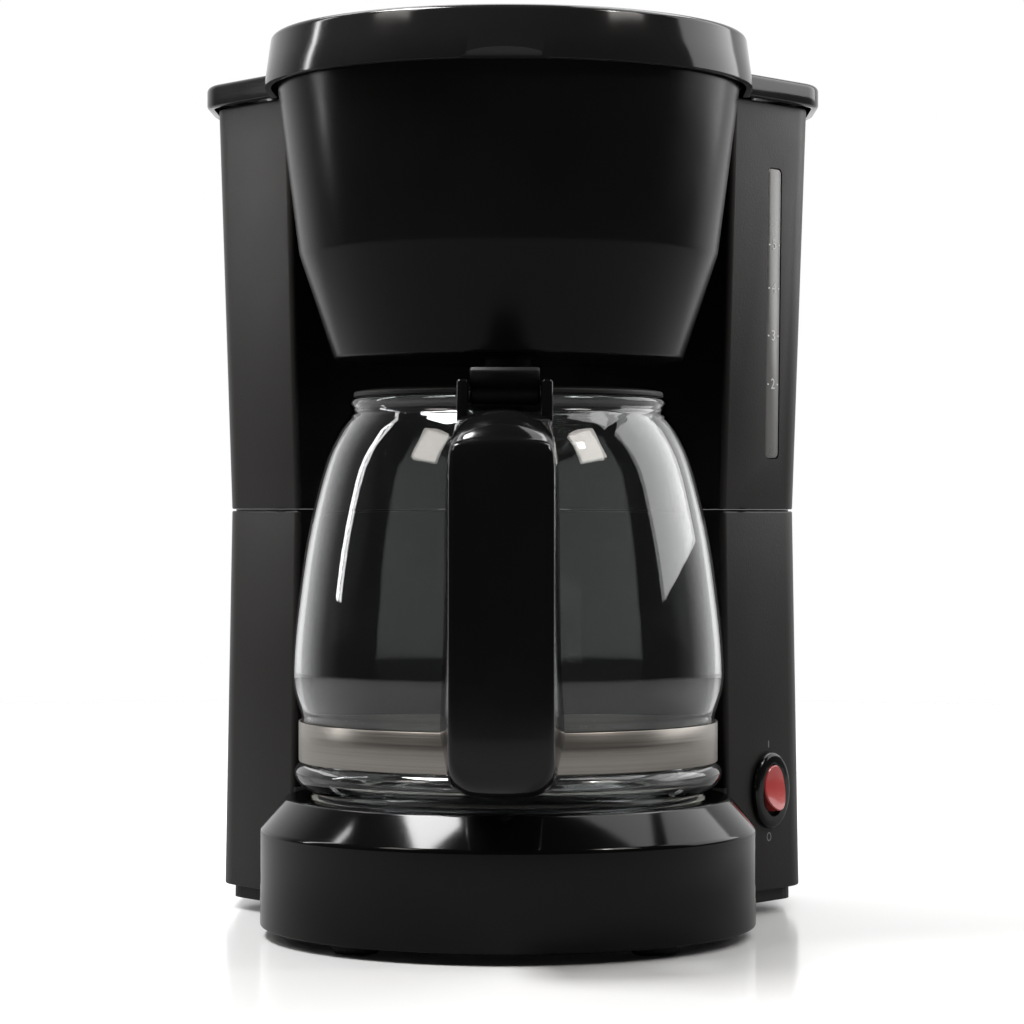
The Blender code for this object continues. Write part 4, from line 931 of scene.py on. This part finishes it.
def red_rocker():
    """Oval rocker with a dished face, tipped on its axle."""
    bm = bmesh.new()
    axle_depth, dish_depth = 3, 1.15
    steps = [(-3.8, 0.9), (-3.75, 0.35), (-3.4, 0.0), (0.0, 0.0), (1.5, 1.0), (4.0, 2.6), (5.8, 4.4)]
    rings = []
    for y, inset in steps:
        ring = []
        for x, z in oval_outline(10.8 - 2 * inset, 14.0 - 2 * inset):
            dish = dish_depth * (1 - (z / 7) ** 2) if y < -3 else 0
            ring.append((x, y - axle_depth + dish, z))
        rings.append(ring)
    stack(bm, rings, caps=False)
    for ring, tip in ((rings[0], -6.8 + dish_depth), (rings[-1], 2.8)):
        centre = bm.verts.new(Vector((0, tip, 0)) * MM)
        loop = [bm.verts.new(Vector(point) * MM) for point in ring]
        for index in range(len(loop)):
            bm.faces.new((loop[index - 1], loop[index], centre))
    bmesh.ops.remove_doubles(bm, verts=bm.verts, dist=1e-7)
    rod(bm, (0, 0, 0), "X", 12.2, 1.0, 24, 0.1)
    place, turn = SWITCH_AT
    pivot = place + turn @ Vector((0, axle_depth * MM, 0))
    tilt = Matrix.Rotation(math.radians(-7), 3, "X")
    piece("red_rocker", bm, RED, "rocker", ["switch_rocker"], 30, pivot, turn @ tilt)


def switch_symbols():
    """The on bar above the bezel and the off ring below it."""
    bm = bmesh.new()
    bar = [point + Vector((0, 14.2)) for point in bar_outline(0.5, 2.2, 0.2)]
    stack(bm, [upright(bar, 0.02), upright(bar, -0.02)])
    loops = []
    for outline in (oval_outline(2.4, 2.8, 32), oval_outline(1.6, 2.0, 32)):
        loops.append([bm.verts.new(Vector((x, -0.02, z - 14.4)) * MM) for x, z in outline])
    outer, inner = loops
    for index in range(len(outer)):
        bm.faces.new((outer[index - 1], outer[index], inner[index], inner[index - 1]))
    place, turn = SWITCH_AT
    piece("switch_symbols", bm, FAINT_MARK, "machine", at=place, turn=turn, normals=False)


base_shell()
drum_shell()
tank_shell()
gauge()
deck_shell()
head_shell()
plate()
lid_shell()
basket_shell()
glass_jug()
steel_band()
jug_handle()
jug_lid()
switch_bezel()
red_rocker()
switch_symbols()


# ---------------------------------------------------------------- studio


def floor():
    """Wide pale disc just under the feet. It throws less light on the object than its own tone would."""
    bm = bmesh.new()
    radius, sides = 1.2, 64
    rim = []
    for side in range(sides):
        turn = 2 * math.pi * side / sides
        rim.append(bm.verts.new((radius * math.cos(turn), radius * math.sin(turn), -0.0002)))
    bm.faces.new(rim)
    obj = mesh_object("studio_floor", bm)
    material, nodes, shader = start_material("pale_floor")
    place = nodes.add("ShaderNodeTexCoord").outputs["Object"]
    tone = ramp(nodes, noise(nodes, place, 3.0, 2.0), [(0.3, 0.78), (0.7, 0.8)])
    nodes.link(tone, shader.inputs["Base Color"])
    dim = nodes.add("ShaderNodeBsdfDiffuse", {"Color": (0.26, 0.26, 0.26, 1)})
    seen = nodes.add("ShaderNodeLightPath").outputs["Is Camera Ray"]
    mixed = nodes.add("ShaderNodeMixShader", {"Fac": seen, 1: dim.outputs[0], 2: shader.outputs[0]})
    nodes.link(mixed.outputs[0], nodes.tree.nodes["Material Output"].inputs["Surface"])
    shader.inputs["Roughness"].default_value = 0.16
    shader.inputs["Specular IOR Level"].default_value = 0.5
    obj.data.materials.append(material)


def softbox(name, place, target, size, power, colour=(1, 1, 1)):
    """A rectangular light that faces its target."""
    light = bpy.data.lights.new(name, "AREA")
    light.shape = "RECTANGLE"
    light.size, light.size_y = size
    light.energy = power
    light.color = colour
    obj = linked(name, light)
    obj.location = place
    aim = Vector(target) - Vector(place)
    obj.rotation_euler = aim.to_track_quat("-Z", "Y").to_euler()


def studio():
    """White surroundings, bright behind and dim in front, with soft boxes over and beside."""
    world = bpy.data.worlds.new("studio")
    bpy.context.scene.world = world
    world.use_nodes = True
    nodes = Nodes(world.node_tree)
    back = world.node_tree.nodes["Background"]
    way = nodes.add("ShaderNodeTexCoord").outputs["Generated"]
    parts = nodes.add("ShaderNodeSeparateXYZ", {"Vector": way})
    shift = nodes.add("ShaderNodeMapRange", {"Value": parts.outputs["Y"], "From Min": -1.0, "From Max": 1.0})
    stops = [(0.0, 0.05), (0.6, 0.05), (0.72, 0.16), (0.86, 0.75), (1.0, 0.95)]
    glow = ramp(nodes, shift.outputs["Result"], stops)
    seen = nodes.add("ShaderNodeLightPath").outputs["Is Camera Ray"]
    mixed = nodes.add("ShaderNodeMix", {"Factor": seen}, data_type="RGBA")
    pick = [socket for socket in mixed.inputs if socket.type == "RGBA"]
    nodes.link(glow, pick[0])
    pick[1].default_value = (1, 1, 1, 1)
    colour = [socket for socket in mixed.outputs if socket.type == "RGBA"][0]
    nodes.link(colour, back.inputs["Color"])
    back.inputs["Strength"].default_value = 1.0
    softbox("over_left", (-0.5, -0.14, 1.15), (-0.02, -0.05, 0.1), (0.5, 0.3), 20)
    softbox("over_right", (0.6, 0.2, 1.25), (0, 0, 0.1), (0.8, 0.7), 6.5)
    softbox("side_right", (0.98, 0.42, 0.62), (0.05, 0, 0.3), (0.85, 0.75), 5.2)
    softbox("over_back", (0.0, 0.9, 1.6), (0, 0.7, 0), (2.4, 0.8), 26)
    softbox("strip_left", (-1.0, 0.24, 0.58), (0, 0, 0.3), (0.05, 0.74), 2.2)
    softbox("spot_right", (0.62, -0.44, 0.76), (0, -0.05, 0.14), (0.06, 0.06), 0.9)
    warm = (1.0, 0.95, 0.9)
    softbox("front_left", (-0.7, -0.45, 0.8), (-0.08, 0, 0.28), (0.3, 0.3), 1.9, warm)
    softbox("front_right", (0.72, -0.42, 0.8), (0.08, 0, 0.28), (0.3, 0.3), 2.3, warm)


def camera():
    """A long lens straight in front, a little below half height, turned a degree."""
    data = bpy.data.cameras.new("camera")
    data.lens = 117.8
    data.sensor_width = 36
    data.shift_x = 0.0036
    data.shift_y = -0.0018
    data.clip_start = 0.01
    obj = linked("camera", data)
    reach, height, yaw, roll = 0.989, 0.1247, math.radians(1.0), math.radians(-0.05)
    obj.location = (AXIS[0] + reach * math.sin(yaw), AXIS[1] - reach * math.cos(yaw), height)
    obj.rotation_euler = (math.radians(90), roll, yaw)
    bpy.context.scene.camera = obj
    bpy.context.scene.view_settings.view_transform = "Standard"


floor()
studio()
camera()
